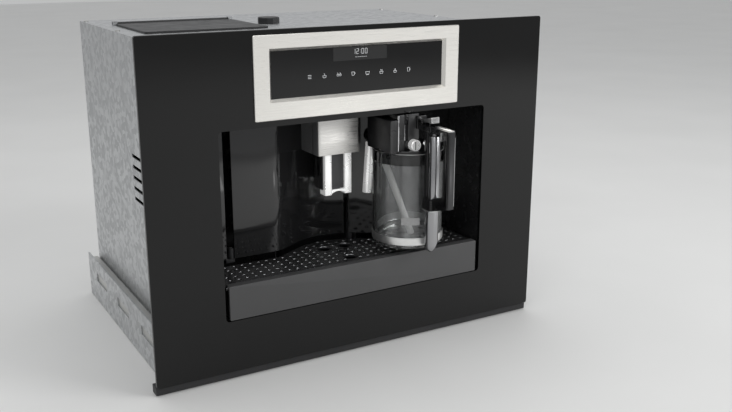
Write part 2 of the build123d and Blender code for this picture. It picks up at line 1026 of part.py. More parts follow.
def tray_plan(half, front, flat, height):
    """Plan of the tray: straight front and sides, S-curved back."""
    with BuildSketch(flat_at(height)) as plan:
        with BuildLine():
            bay_outline(flat)
            Polyline((niche_half, flat), (niche_half, front), (-niche_half, front), (-niche_half, flat))
        make_face()
        with Locations((0, (front + niche_depth) / 2)):
            Rectangle(2 * half, niche_depth - front, mode=Mode.INTERSECT)
    return plan


with BuildPart() as drip_tray:
    tray_plate = tray_plan(tray_half, tray_front_sheet, grille_line - tray_wall, tray_floor)
    extrude(tray_plate.sketch, amount=grille_bottom - tray_floor)
    offset(amount=-tray_wall, openings=drip_tray.faces().sort_by(Axis.Z)[-1])
    for side in (-1, 1):
        middle = side * runner_place
        slab(
            (middle - runner_width / 2, middle + runner_width / 2),
            (tray_front_sheet, grille_line - 2 * tray_wall),
            (niche_bottom + gap, tray_floor),
        )
    inner_floor = tray_floor + tray_wall
    guide_span = (inner_floor, inner_floor + float_guide)
    guide_bore = float_radius + gap
    for row in tray_rib_rows:
        slab((-tray_rib_ends, tray_rib_ends), (row, row + tray_rib_width), (tray_floor, inner_floor + tray_rib_width))
    post(float_place, guide_bore + tray_wall, guide_span)
    post(float_place, guide_bore, guide_span, Mode.SUBTRACT)
pieces["drip_tray"] = drip_tray

with BuildPart() as drip_grille:
    grille_plate = tray_plan(grille_half, grille_front, grille_line, grille_bottom)
    extrude(grille_plate.sketch, amount=grille_sheet)
    hole_field = offset(grille_plate.sketch_local, amount=-hole_rim - hole_size / 2, mode=Mode.PRIVATE)
    kept_clear = [(place, cup_ring_radius) for place in cup_rings] + [(float_place, float_stem + slip)]
    columns = int(grille_half / hole_pitch)
    rows = int((niche_depth - hole_front) / hole_pitch)


    def has_room(point):
        """True where a hole stays inside the rim and off the round openings."""
        clear = all(math.dist(point, place) > radius + hole_size for place, radius in kept_clear)
        return clear and hole_field.face().is_inside(Vector(*point))


    grid = [
        (grid_x + column * hole_pitch, hole_front + row * hole_pitch)
        for column in range(-columns, columns + 1)
        for row in range(rows)
    ]
    with BuildSketch(flat_at(grille_bottom)) as holes:
        with Locations(*[point for point in grid if has_room(point)]):
            Rectangle(hole_size, hole_size)
        with Locations(float_place):
            Circle(float_stem + slip)
        with Locations(*cup_rings):
            Circle(cup_ring_hole)
    extrude(holes.sketch, amount=grille_sheet, mode=Mode.SUBTRACT)
    posts(cup_rings, cup_ring_radius, (grille_top - cup_ring_sink, grille_top), Mode.SUBTRACT)
pieces["drip_grille"] = drip_grille

with BuildPart() as tray_float:
    float_low = inner_floor + gap
    post(float_place, float_radius, (float_low, float_low + float_height))
    post(float_place, float_stem, (float_low, grille_top + 0.5))
pieces["tray_float"] = tray_float

# ---------- milk carafe ----------
with BuildPart() as milk_jug:
    post(jug_axis, jug_radius, (jug_bottom, jug_top))
    fillet(milk_jug.faces().sort_by(Axis.Z)[0].edges(), jug_foot)
    post(jug_axis, jug_radius - jug_wall, (jug_bottom + jug_floor, jug_top), Mode.SUBTRACT)
pieces["milk_jug"] = milk_jug

with BuildPart() as jug_base_ring:
    band = (jug_bottom + ring_low, jug_bottom + ring_high)
    post(jug_axis, base_ring_radius, band)
    chamfer(jug_base_ring.edges(), 0.4)
    post(jug_axis, jug_radius + running, band, Mode.SUBTRACT)
pieces["jug_base_ring"] = jug_base_ring

with BuildPart() as jug_collar:
    post(jug_axis, base_ring_radius, (jug_top, collar_top))
    post(jug_axis, base_ring_radius - collar_width, (jug_top, collar_top), Mode.SUBTRACT)
    chamfer(jug_collar.faces().sort_by(Axis.Z)[-1].outer_wire().edges(), 0.8)
pieces["jug_collar"] = jug_collar

pivot_back = wall_face - 0.5
head_span = (head_front, head_back)
head_low = lid_top - 1
intake_x = jug_x - intake_offset
socket_low = collar_top - intake_drop

with BuildPart() as frother_head:
    post(jug_axis, jug_radius - lid_inset, (collar_top, lid_top))
    slab((head_left, head_right), head_span, (head_low, head_top))
    fillet(frother_head.edges().filter_by(Axis.Z).group_by(Axis.Y)[0], 2)
    slab(
        (channel_left, head_left + 1),
        head_span,
        (lid_top - channel_overhang, head_top - channel_drop),
    )
    slab(
        (head_right - 1, nozzle_back),
        (jug_y, head_back),
        (head_low, nozzle_height + nozzle_flange + nozzle_boss),
    )
    bar_y((jug_x, nozzle_height), nozzle_radius + running, (nozzle_reach - 1, head_back), Mode.SUBTRACT)
    slab(
        (slot_left, slot_left + slot_width),
        (head_front, head_front + slot_depth),
        (head_top - slot_drop - slot_height, head_top - slot_drop),
        Mode.SUBTRACT,
    )
    slab(
        (slot_left + slot_width - 1, head_right),
        (head_front, head_front + knob_recess),
        (lid_top, lid_top + recess_height),
        Mode.SUBTRACT,
    )
    bar_y((milk_pivot_x, milk_pivot_height), milk_pin, (head_back - 1, pivot_back))
    bar_y((knob_x, knob_height), knob_pin + running, (head_front, head_front + 9), Mode.SUBTRACT)
    post((intake_x, jug_y), intake_radius + intake_socket, (socket_low, lid_top))
    slab(
        (jug_x - arm_half, jug_x + arm_half),
        (lever_back, head_front + arm_height),
        (arm_bottom, head_top - 3),
    )
pieces["frother_head"] = frother_head

with BuildPart() as milk_tube:
    intake_foot = (jug_x + 5, jug_bottom + jug_floor + intake_clearance)
    with BuildLine(facing(jug_y)) as intake_path:
        FilletPolyline((intake_x, socket_low), (intake_x, jug_top - 6), intake_foot, radius=intake_bend)
    with BuildSketch(Plane(origin=intake_path.line @ 0, z_dir=intake_path.line % 0)):
        Circle(intake_radius)
        Circle(intake_bore, mode=Mode.SUBTRACT)
    sweep()
pieces["milk_tube"] = milk_tube

with BuildPart() as froth_knob:
    knob_back = head_front - gap
    knob_face = knob_back - knob_length
    bar_y((knob_x, knob_height), knob_radius, (knob_face, knob_back))
    chamfer(froth_knob.edges().group_by(Axis.Y)[0], 1)
    slab(
        (knob_x - knob_slot / 2, knob_x + knob_slot / 2),
        (knob_face, knob_face + knob_slot),
        (knob_height - knob_radius, knob_height + knob_radius),
        Mode.SUBTRACT,
    )
    bar_y((knob_x, knob_height), knob_pin, (knob_back, head_front + 8))
pieces["froth_knob"] = froth_knob

with BuildPart() as milk_spout:
    pivot = (milk_pivot_x, milk_pivot_height)
    bar_y(pivot, milk_pivot_radius, (head_back + gap, pivot_back))
    slab(
        (milk_pivot_x - milk_pivot_radius, milk_pivot_x + milk_pivot_radius),
        (head_back + milk_pivot_radius, pivot_back),
        (milk_pivot_height - milk_pivot_radius, milk_pivot_height),
    )
    tube_top = Vector(milk_pivot_x, milk_tube_back - frame_back, milk_pivot_height)
    tube_run = Vector(-milk_tube_lean, 0, -milk_tube_reach)
    tube_plane = Plane(origin=tube_top, z_dir=tube_run)
    with BuildSketch(tube_plane) as tube_end:
        Circle(milk_tube_radius)
    extrude(tube_end.sketch, amount=tube_run.length)
    with BuildSketch(tube_plane.offset(milk_tube_solid)) as bore:
        Circle(milk_tube_radius - milk_tube_wall)
    extrude(bore.sketch, amount=tube_run.length, mode=Mode.SUBTRACT)
    bar_y(pivot, milk_pin + running, (head_back, pivot_back + 1), Mode.SUBTRACT)
pieces["milk_spout"] = milk_spout

arm_x = (jug_x - arm_half, jug_x + arm_half)
joint_front = spine_front - 8

with BuildPart() as jug_handle:
    with BuildSketch(across(jug_x - grip_half)) as outline:
        with BuildLine():
            Polyline(
                (lever_back, arm_top),
                (grip_front, arm_top),
                (grip_front, grip_bottom),
                (joint_front, joint_bottom),
                (spine_back, joint_bottom),
                (spine_back, arm_bottom),
                (lever_back, arm_bottom),
                (lever_back, arm_top),
            )
        make_face()
        with BuildLine():
            Polyline(
                (grip_back, arm_bottom),
                (grip_back, grip_bottom + joint_height),
                (spine_front, joint_top),
                (spine_front, arm_bottom),
                (grip_back, arm_bottom),
            )
        make_face(mode=Mode.SUBTRACT)
        fillet(outline.vertices().group_by(Axis.Y)[0], 4)
    extrude(outline.sketch, amount=2 * grip_half - grip_trim_width)
    slab(arm_x, (spine_front, lever_back), (arm_bottom, arm_top))
    slab(arm_x, (spine_front, spine_back), (joint_top, arm_bottom))
    slab((jug_x - joint_half, jug_x + joint_half), (joint_front, spine_back), (joint_bottom, joint_top))
    for rib in range(joint_ribs):
        rib_low = joint_bottom + 2 + rib * joint_height / joint_ribs
        for side in (-1, 1):
            face = jug_x + side * joint_half
            slab((face - side, face), (joint_front, spine_back), (rib_low, rib_low + 1.5), Mode.SUBTRACT)
    post((jug_x, high_tube_y), high_tube_radius + running, (joint_top, arm_bottom), Mode.SUBTRACT)
    for side in (-1, 1):
        slab(
            (jug_x + side * (lever_half + gap), jug_x + side * arm_half),
            (lever_pivot - ear_half, lever_pivot + ear_half),
            (arm_top - 1, lever_axis + knuckle_cap),
        )
    bar_x((lever_pivot, lever_axis), lever_pin + running, arm_x, Mode.SUBTRACT)
pieces["jug_handle"] = jug_handle

with BuildPart() as handle_tubes:
    post((jug_x, low_tube_y), low_tube_radius, (jug_bottom, joint_bottom))
    fillet(handle_tubes.faces().sort_by(Axis.Z)[0].edges(), low_tube_radius - 1)
    post((jug_x, high_tube_y), high_tube_radius, (joint_top, arm_bottom))
pieces["handle_tubes"] = handle_tubes

with BuildPart() as grip_trim:
    trim_x = (jug_x + grip_half - grip_trim_width, jug_x + grip_half)
    slab(trim_x, (grip_front, grip_back), (grip_bottom + 4, arm_bottom))
    fillet(grip_trim.edges().filter_by(Axis.Z), 1.5)
pieces["grip_trim"] = grip_trim

with BuildPart() as thumb_lever:
    lever_root = lever_pivot - 8
    with BuildSketch(across(jug_x - lever_half)) as profile:
        with BuildLine():
            Polyline(
                (lever_pivot + 3, lever_axis + 2.5),
                (lever_root, lever_axis + lever_tilt),
                (lever_root, lever_axis + 1.5),
                (lever_pivot - 3, lever_axis - 2),
                (lever_pivot + 3, lever_axis - 2),
                (lever_pivot + 3, lever_axis + 2.5),
            )
        make_face()
    extrude(profile.sketch, amount=2 * lever_half)
    with BuildSketch(across(jug_x - lever_plate)) as plate:
        with BuildLine():
            Polyline(
                (lever_root + 1, lever_axis + lever_tilt),
                (lever_front, lever_axis + 2 * lever_tilt),
                (lever_front, lever_axis + 1.5 * lever_tilt),
                (lever_root + 1, lever_axis + 1.8),
                (lever_root + 1, lever_axis + lever_tilt),
            )
        make_face()
    extrude(plate.sketch, amount=2 * lever_plate)
    bar_x((lever_pivot, lever_axis), lever_pin, arm_x)
pieces["thumb_lever"] = thumb_lever

# ---------- brewing ----------
with BuildPart() as chassis_shelf:
    shelf_span = (shelf_front, shelf_back)
    slab((shelf_left, shelf_right), shelf_span, (shelf_top - sheet, shelf_top))
    for start in (shelf_left, shelf_right - sheet):
        slab((start, start + sheet), shelf_span, (pan_inside, shelf_top))
pieces["chassis_shelf"] = chassis_shelf

with BuildPart() as grounds_container:
    container_span = (container_front, container_back)
    container_top = shelf_top + container_height
    slab((-container_half, container_half), container_span, (shelf_top, container_top))
    fillet(grounds_container.edges().filter_by(Axis.Z), container_corner)
    offset(amount=-container_wall, openings=grounds_container.faces().sort_by(Axis.Z)[-1])
    grip_front_y = container_front - container_corner
    for side in (-1, 1):
        slab(
            (side * container_grip, side * (container_grip - container_wall)),
            (grip_front_y, container_front + container_wall),
            (container_top - container_grip, container_top - container_corner),
        )
    slab(
        (-container_grip, container_grip),
        (grip_front_y, grip_front_y + container_wall),
        (container_top - container_grip, container_top - container_corner),
    )
pieces["grounds_container"] = grounds_container

chute_y = (grinder_y - chute_width / 2, grinder_y + chute_width / 2)
chute_bore_y = (chute_y[0] + chute_wall, chute_y[1] - chute_wall)
chute_bore_z = (cup_floor + chute_wall, cup_floor + chute_height - chute_wall)

with BuildPart() as brew_unit:
    brew_outer = brew_inner + brew_wall
    brew_span = (brew_front, brew_back)
    for side in (-1, 1):
        slab((side * brew_inner, side * brew_outer), brew_span, (shelf_top, brew_top))
    for height in (brew_floor, brew_top - brew_bridge):
        slab((-brew_inner, brew_inner), brew_span, (height, height + brew_bridge))
    chamber_span = (bridge_level, bridge_level + chamber_height)
    post(brew_axis, chamber_radius + chamber_wall, chamber_span)
    post(brew_axis, chamber_radius, chamber_span, Mode.SUBTRACT)
    post(brew_axis, piston_rod + running, (brew_floor, bridge_level), Mode.SUBTRACT)
    post(brew_axis, head_radius, (brew_top - brew_bridge - head_length, brew_top - brew_bridge))
    slab(
        (-brew_outer, brew_outer),
        (brew_front + brew_window, brew_back - brew_window),
        (shelf_top + brew_window, brew_floor - brew_window / 2),
        Mode.SUBTRACT,
    )
    for side in (-1, 1):
        slab(
            (side * brew_inner, side * brew_outer),
            (brew_y - guide_slot / 2, brew_y + guide_slot / 2),
            chamber_span,
            Mode.SUBTRACT,
        )
    slab((-brew_outer, -brew_inner), chute_bore_y, chute_bore_z, Mode.SUBTRACT)
pieces["brew_unit"] = brew_unit

with BuildPart() as brew_piston:
    piston_low = bridge_level + gap
    post(brew_axis, chamber_radius - running, (piston_low, piston_low + piston_height))
    post(brew_axis, piston_rod, (brew_floor - piston_rod_reach, piston_low))
pieces["brew_piston"] = brew_piston

# ---------- grinder ----------
ring_low_level = cup_floor + burr_ring_rise
ring_top_level = ring_low_level + burr_height
cone_low = cup_floor + burr_cup_floor + gap
ring_outer = burr_cup_radius - burr_cup_wall
grinder_spindle = Axis((grinder_x, grinder_y - frame_back, 0), (0, 0, 1))


def round_the_grinder(radius, width, depth, z, mode=Mode.ADD):
    """Bars spread evenly round the grinder's axis."""
    with BuildSketch(flat_at(z[0])) as bars:
        with Locations(grinder_axis):
            with PolarLocations(radius, groove_count):
                Rectangle(2 * depth, width)
    extrude(bars.sketch, amount=z[1] - z[0], mode=mode)


with BuildPart() as grinder_motor:
    can_top = cup_floor - motor_flange
    post(grinder_axis, motor_radius, (shelf_top, can_top))
    round_the_grinder(
        motor_radius,
        groove_width,
        groove_depth,
        (shelf_top + motor_flange, can_top - motor_flange),
        Mode.SUBTRACT,
    )
    post(grinder_axis, burr_cup_radius, (can_top, cup_floor))
pieces["grinder_motor"] = grinder_motor

with BuildPart() as grinder_body:
    post(grinder_axis, burr_cup_radius, (cup_floor, cup_top))
    round_the_grinder(burr_cup_radius, chute_wall, groove_depth, (cup_floor, cup_top - motor_flange))
    slab((grinder_x, -brew_inner - brew_wall), chute_y, (cup_floor, cup_floor + chute_height))
    post(grinder_axis, ring_outer, (cup_floor + burr_cup_floor, cup_top), Mode.SUBTRACT)
    slab(
        (grinder_x + ring_outer - 2, -brew_inner - brew_wall),
        chute_bore_y,
        chute_bore_z,
        Mode.SUBTRACT,
    )
    post(grinder_axis, burr_shaft + running, (cup_floor, cup_floor + burr_cup_floor), Mode.SUBTRACT)
pieces["grinder_body"] = grinder_body

with BuildPart() as burr_ring:
    ring_edge = grinder_x + ring_outer - running
    ring_lip = (grinder_x + burr_low_radius + 1, ring_low_level + 4)
    with BuildSketch(facing(grinder_y)) as ring_profile:
        with BuildLine():
            Polyline(
                ring_lip,
                (ring_edge, ring_low_level + 4),
                (ring_edge, ring_top_level),
                (grinder_x + burr_top_radius + 4, ring_top_level),
                ring_lip,
            )
        make_face()
    revolve(ring_profile.sketch, axis=grinder_spindle)
pieces["burr_ring"] = burr_ring

with BuildPart() as burr_cone:
    cone_edge = grinder_x + burr_low_radius
    with BuildSketch(facing(grinder_y)) as cone_profile:
        with BuildLine():
            Polyline(
                (grinder_x, cup_floor + gap),
                (grinder_x + burr_shaft, cup_floor + gap),
                (grinder_x + burr_shaft, cone_low),
                (cone_edge, cone_low),
                (cone_edge, cone_low + burr_base),
                (grinder_x + burr_top_radius, ring_top_level),
                (grinder_x, ring_top_level),
                (grinder_x, cup_floor + gap),
            )
        make_face()
    revolve(cone_profile.sketch, axis=grinder_spindle)
    with BuildSketch(flat_at(cone_low + burr_base)) as grooves:
        with Locations(grinder_axis):
            with PolarLocations(burr_low_radius, burr_teeth):
                Rectangle(burr_base, groove_depth)
    extrude(grooves.sketch, amount=burr_height, mode=Mode.SUBTRACT)
pieces["burr_cone"] = burr_cone


def hopper_funnel(inset, bottom, mode=Mode.ADD):
    """The hopper's sloping walls, drawn in by an inset."""
    throat_side = 2 * (hopper_throat + hopper_wall - inset)
    with BuildSketch(flat_at(hopper_fold)) as mouth:
        with Locations(grinder_axis):
            Rectangle(2 * (hopper_half_x - inset), 2 * (hopper_half_y - inset))
    with BuildSketch(flat_at(bottom)) as throat:
        with Locations(grinder_axis):
            Rectangle(throat_side, throat_side)
    loft(sections=[throat.sketch, mouth.sketch], ruled=True, mode=mode)


with BuildPart() as bean_hopper:
    funnel_low = cup_top + hopper_neck
    hopper_funnel(0, funnel_low)
    slab((hopper_left, hopper_right), (hopper_front, hopper_back), (hopper_fold, case_top))
    slab(
        (hopper_left - hopper_rim, hopper_right + hopper_rim),
        (hopper_front - hopper_rim, hopper_back + hopper_rim),
        (case_top - hopper_wall, case_top),
    )
    post(grinder_axis, hopper_throat + hopper_wall, (cup_top, funnel_low + 1))
    hopper_funnel(hopper_wall, funnel_low, Mode.SUBTRACT)
    slab(
        (hopper_left + hopper_wall, hopper_right - hopper_wall),
        (hopper_front + hopper_wall, hopper_back - hopper_wall),
        (hopper_fold, case_top),
        Mode.SUBTRACT,
    )
    post(grinder_axis, hopper_throat - hopper_wall, (cup_top, funnel_low + hopper_wall), Mode.SUBTRACT)
pieces["bean_hopper"] = bean_hopper

with BuildPart() as bean_lid:
    lid_low = cover_top + gap
    slab(
        (hopper_left - lid_overlap, hopper_right + lid_overlap),
        (hopper_front - lid_overlap, hopper_back - 1),
        (lid_low, lid_low + lid_sheet),
    )
    fillet(bean_lid.edges().filter_by(Axis.Z), lid_corner)
    slab(
        (hopper_left + hopper_rim, hopper_right - hopper_rim),
        (hopper_back - 2, lid_hinge_y),
        (lid_hinge_z - lid_pin, lid_low + lid_sheet),
    )
    bar_x((lid_hinge_y, lid_hinge_z), lid_pin, (hopper_left - lid_ear, hopper_right + lid_ear))
pieces["bean_lid"] = bean_lid

with BuildPart() as grind_knob:
    with BuildSketch(flat_at(cover_top + gap)) as knob_plan:
        with Locations(grind_knob_place):
            RegularPolygon(grind_knob_radius, grind_flats)
    extrude(knob_plan.sketch, amount=grind_knob_height)
    chamfer(grind_knob.faces().sort_by(Axis.Z)[-1].edges(), 1)
    post(grind_knob_place, grind_shaft, (case_top - grind_shaft_reach, cover_top + gap))
    collar_level = case_top - gap
    post(grind_knob_place, grind_shaft + grind_collar, (collar_level - grind_collar, collar_level))
pieces["grind_knob"] = grind_knob

# ---------- water and steam ----------
with BuildPart() as water_tank:
    slab((tank_left, case_half), (tank_front, tank_back), (tank_bottom, tank_top))
    fillet(water_tank.edges().filter_by(Axis.Z).group_by(Axis.X)[0], tank_corner)
    offset(amount=-tank_wall, openings=water_tank.faces().sort_by(Axis.Z)[-1])
    pocket_mid = (tank_front + tank_back) / 2
    pocket_y = (pocket_mid - grip_pocket_half, pocket_mid + grip_pocket_half)
    pocket_top = tank_top - grip_pocket_drop
    pocket_bottom = pocket_top - grip_pocket_height
    slab(
        (case_half - grip_pocket_depth - tank_wall, case_half),
        (pocket_y[0] - tank_wall, pocket_y[1] + tank_wall),
        (pocket_bottom - tank_wall, pocket_top + tank_wall),
    )
    slab(
        (case_half - grip_pocket_depth, case_half),
        pocket_y,
        (pocket_bottom, pocket_top),
        Mode.SUBTRACT,
    )
    for rib_y in (pocket_y[0], pocket_mid, pocket_y[1]):
        slab(
            (tank_left + 1, tank_left + tank_wall + tank_rib),
            (rib_y - tank_rib / 2, rib_y + tank_rib / 2),
            (tank_bottom, pocket_bottom),
        )
    for start in (tank_front + 2, tank_back - 2 - tank_hinge):
        hinge_span = (start, start + tank_hinge)
        slab(
            (tank_left, tank_left + 2 * tank_hinge),
            hinge_span,
            (tank_top - tank_hinge, tank_lid_axis[1] + knuckle_cap),
        )
        bar_y(tank_lid_axis, lid_pin + running, hinge_span, Mode.SUBTRACT)
pieces["water_tank"] = water_tank

with BuildPart() as tank_lid:
    tank_lid_low = tank_top + gap
    slab(
        (tank_lid_axis[0], case_half - 3),
        (tank_front + 2 * tank_hinge, tank_back - 2 * tank_hinge),
        (tank_lid_low, tank_lid_low + lid_sheet),
    )
    bar_y(tank_lid_axis, lid_pin, (tank_front + 2, tank_back - 2))
pieces["tank_lid"] = tank_lid

with BuildPart() as thermoblock:
    block_top = shelf_top + block_height
    block_mid = ((block_left + block_right) / 2, (block_front + block_back) / 2)
    slab(
        (block_left, block_right),
        (block_front, block_back),
        (shelf_top + block_foot, block_top),
    )
    with BuildSketch(flat_at(block_top)) as fins:
        with Locations(block_mid):
            with GridLocations(fin_pitch, 1, fin_count, 1):
                Rectangle(fin_gap, block_back - block_front)
    extrude(fins.sketch, amount=-fin_depth, mode=Mode.SUBTRACT)
    for foot in (block_left, block_right - block_foot):
        slab((foot, foot + block_foot), (block_front, block_back), (shelf_top, shelf_top + block_foot))
    for level in (shelf_top + block_height / 4, shelf_top + block_height / 2):
        bar_y((block_mid[0], level), fitting_radius, (block_back, block_back + fitting_reach))
pieces["thermoblock"] = thermoblock

with BuildPart() as steam_boiler:
    boiler_place = (boiler_x, boiler_y)
    boiler_top = shelf_top + boiler_height
    boiler_mid = shelf_top + boiler_height / 2
    post(boiler_place, boiler_radius, (shelf_top, boiler_top))
    chamfer(steam_boiler.faces().sort_by(Axis.Z)[-1].edges(), boiler_chamfer)
    post(boiler_place, boiler_radius + boiler_flange, (shelf_top, shelf_top + boiler_flange))
    post(
        boiler_place,
        boiler_radius + boiler_flange,
        (boiler_mid - boiler_flange, boiler_mid + boiler_flange),
    )
    posts(
        [(boiler_x + place * fin_depth, boiler_y) for place in (-1, 0, 1)],
        fitting_radius,
        (boiler_top, boiler_top + fitting_reach),
    )
pieces["steam_boiler"] = steam_boiler

with BuildPart() as water_pump:
    pump_axis = (pump_y, pump_height)
    bar_x(pump_axis, pump_radius, (-pump_half, pump_half))
    bar_x(pump_axis, pump_nozzle, (-pump_half - pump_nozzle_reach, pump_half + pump_nozzle_reach))
    slab(
        (-pump_yoke_half, pump_yoke_half),
        (pump_y - pump_yoke, pump_y + pump_yoke),
        (pump_height - pump_yoke, pump_height + pump_yoke),
    )
    for side in (-1, 1):
        slab(
            (side * pump_yoke_half, side * (pump_yoke_half - pump_foot)),
            (pump_y - pump_yoke, pump_y + pump_yoke),
            (pan_inside, pump_height),
        )
pieces["water_pump"] = water_pump

with BuildPart() as solenoid_valve:
    valve_top = pan_inside + valve_base
    slab(
        (valve_x - valve_half, valve_x + valve_half),
        (valve_y - valve_half, valve_y + valve_half),
        (pan_inside, valve_top),
    )
    slab(
        (valve_x - valve_half, valve_x + valve_half),
        (valve_y - valve_coil, valve_y + valve_coil),
        (valve_top + 1, pan_inside + valve_height - 4),
    )
    post((valve_x, valve_y), fitting_radius + 2, (valve_top, pan_inside + valve_height))
    bar_x(
        (valve_y, pan_inside + valve_base / 2),
        fitting_radius,
        (valve_x - valve_half - fitting_reach, valve_x + valve_half + fitting_reach),
    )
pieces["solenoid_valve"] = solenoid_valve

# ---------- electrics ----------
with BuildPart() as control_board:
    board_back = case_back - sheet - control_gap
    board_face = board_back - board_sheet
    control_right = control_left + control_width
    control_top = control_bottom + control_height
    slab((control_left, control_right), (board_face, board_back), (control_bottom, control_top))
    for x in (control_left + component_margin / 2, control_right - component_margin / 2):
        for z in (control_bottom + component_margin / 2, control_top - component_margin / 2):
            bar_y((x, z), standoff_radius, (board_back, case_back - sheet))
    for place in range(relay_count):
        start = control_left + component_margin + place * relay_pitch
        slab(
            (start, start + relay_width),
            (board_face - relay_depth, board_face),
            (control_top - component_margin - relay_height, control_top - component_margin),
        )
        slab(
            (start, start + relay_width),
            (board_face - connector_depth, board_face),
            (control_bottom + component_margin, control_bottom + component_margin + connector_height),
        )
    slab(
        (control_left + component_margin, control_left + component_margin + transformer_width),
        (board_face - transformer_depth, board_face),
        (control_bottom + 3 * component_margin, control_bottom + 3 * component_margin + transformer_width),
    )
    for step in (1, 2, 3):
        bar_y(
            (control_right - 2 * component_margin, control_bottom + step * 3 * component_margin),
            capacitor_radius,
            (board_face - capacitor_length, board_face),
        )
pieces["control_board"] = control_board

with BuildPart() as power_inlet:
    body_y = (case_back - inlet_depth, case_back)
    outside = case_back + inlet_flange
    slab((inlet_left + sheet, inlet_right - sheet), body_y, (inlet_bottom + sheet, inlet_top - sheet))
    slab((inlet_left, inlet_right), (case_back, outside), (inlet_bottom, inlet_top))
    socket_floor = case_back - inlet_depth + rocker_proud
    slab(
        (socket_x - socket_width / 2, socket_x + socket_width / 2),
        (socket_floor, outside),
        (inlet_mid - socket_height / 2, inlet_mid + socket_height / 2),
        Mode.SUBTRACT,
    )
    for pin in range(socket_pins):
        pin_x = socket_x + (pin - (socket_pins - 1) / 2) * socket_pin_pitch
        slab(
            (pin_x - socket_pin / 2, pin_x + socket_pin / 2),
            (socket_floor - 1, outside - 6),
            (inlet_mid - socket_pin, inlet_mid + socket_pin),
        )
    hollow = rocker_radius + gap
    slab(
        (rocker_x - rocker_width / 2 - gap, rocker_x + rocker_width / 2 + gap),
        (case_back - 2 * rocker_radius, outside),
        (inlet_mid - hollow, inlet_mid + hollow),
        Mode.SUBTRACT,
    )
    rocker_place = (case_back - rocker_radius + rocker_proud, inlet_mid)
    pin_reach = rocker_width / 2 + rocker_pin_reach
    bar_x(rocker_place, rocker_pin + running, (rocker_x - pin_reach, rocker_x + pin_reach), Mode.SUBTRACT)
pieces["power_inlet"] = power_inlet

with BuildPart() as power_switch:
    rocker_span = (rocker_x - rocker_width / 2, rocker_x + rocker_width / 2)
    bar_x(rocker_place, rocker_radius, rocker_span)
    slab(
        rocker_span,
        (case_back + rocker_proud / 2, case_back + rocker_radius + rocker_proud),
        (inlet_mid - rocker_radius, inlet_mid + rocker_radius),
        Mode.SUBTRACT,
    )
    bar_x(rocker_place, rocker_pin, (rocker_x - pin_reach + gap, rocker_x + pin_reach - gap))
pieces["power_switch"] = power_switch

for name, piece in pieces.items():
    piece.part.label = name
    export_step(piece.part, f"parts/{name}.step")
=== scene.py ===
import math

import bmesh
import bpy
from mathutils import Matrix, Vector


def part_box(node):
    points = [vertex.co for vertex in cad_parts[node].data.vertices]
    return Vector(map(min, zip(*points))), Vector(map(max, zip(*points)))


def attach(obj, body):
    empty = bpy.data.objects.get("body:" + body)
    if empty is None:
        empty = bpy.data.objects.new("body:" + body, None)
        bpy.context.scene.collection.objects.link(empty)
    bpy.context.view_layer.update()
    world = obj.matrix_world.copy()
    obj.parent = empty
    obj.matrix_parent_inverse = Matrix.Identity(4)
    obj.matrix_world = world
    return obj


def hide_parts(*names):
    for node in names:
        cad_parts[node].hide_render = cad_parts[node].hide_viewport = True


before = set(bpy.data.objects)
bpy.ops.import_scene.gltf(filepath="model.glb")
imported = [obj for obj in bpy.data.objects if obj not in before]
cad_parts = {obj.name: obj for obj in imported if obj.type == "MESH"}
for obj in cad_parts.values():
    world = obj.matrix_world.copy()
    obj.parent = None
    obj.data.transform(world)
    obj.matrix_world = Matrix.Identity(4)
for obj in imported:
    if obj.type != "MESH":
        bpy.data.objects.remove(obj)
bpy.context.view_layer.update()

# Lengths below are millimetres, X from the middle, Y from the face of the front glass, Z from the floor.
MM = 0.001
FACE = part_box("front_glass")[0].y / MM


def at(x, y, z):
    """A place in the row frame, in metres."""
    return Vector((x * MM, (y + FACE) * MM, z * MM))


def span(node, axis):
    """The two ends of a CAD node on an axis, in millimetres."""
    index = "XYZ".index(axis)
    shift = FACE if axis == "Y" else 0
    return tuple(corner[index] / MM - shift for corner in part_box(node))


def middle(node, axis):
    return sum(span(node, axis)) / 2


def width(node, axis):
    low, high = span(node, axis)
    return high - low


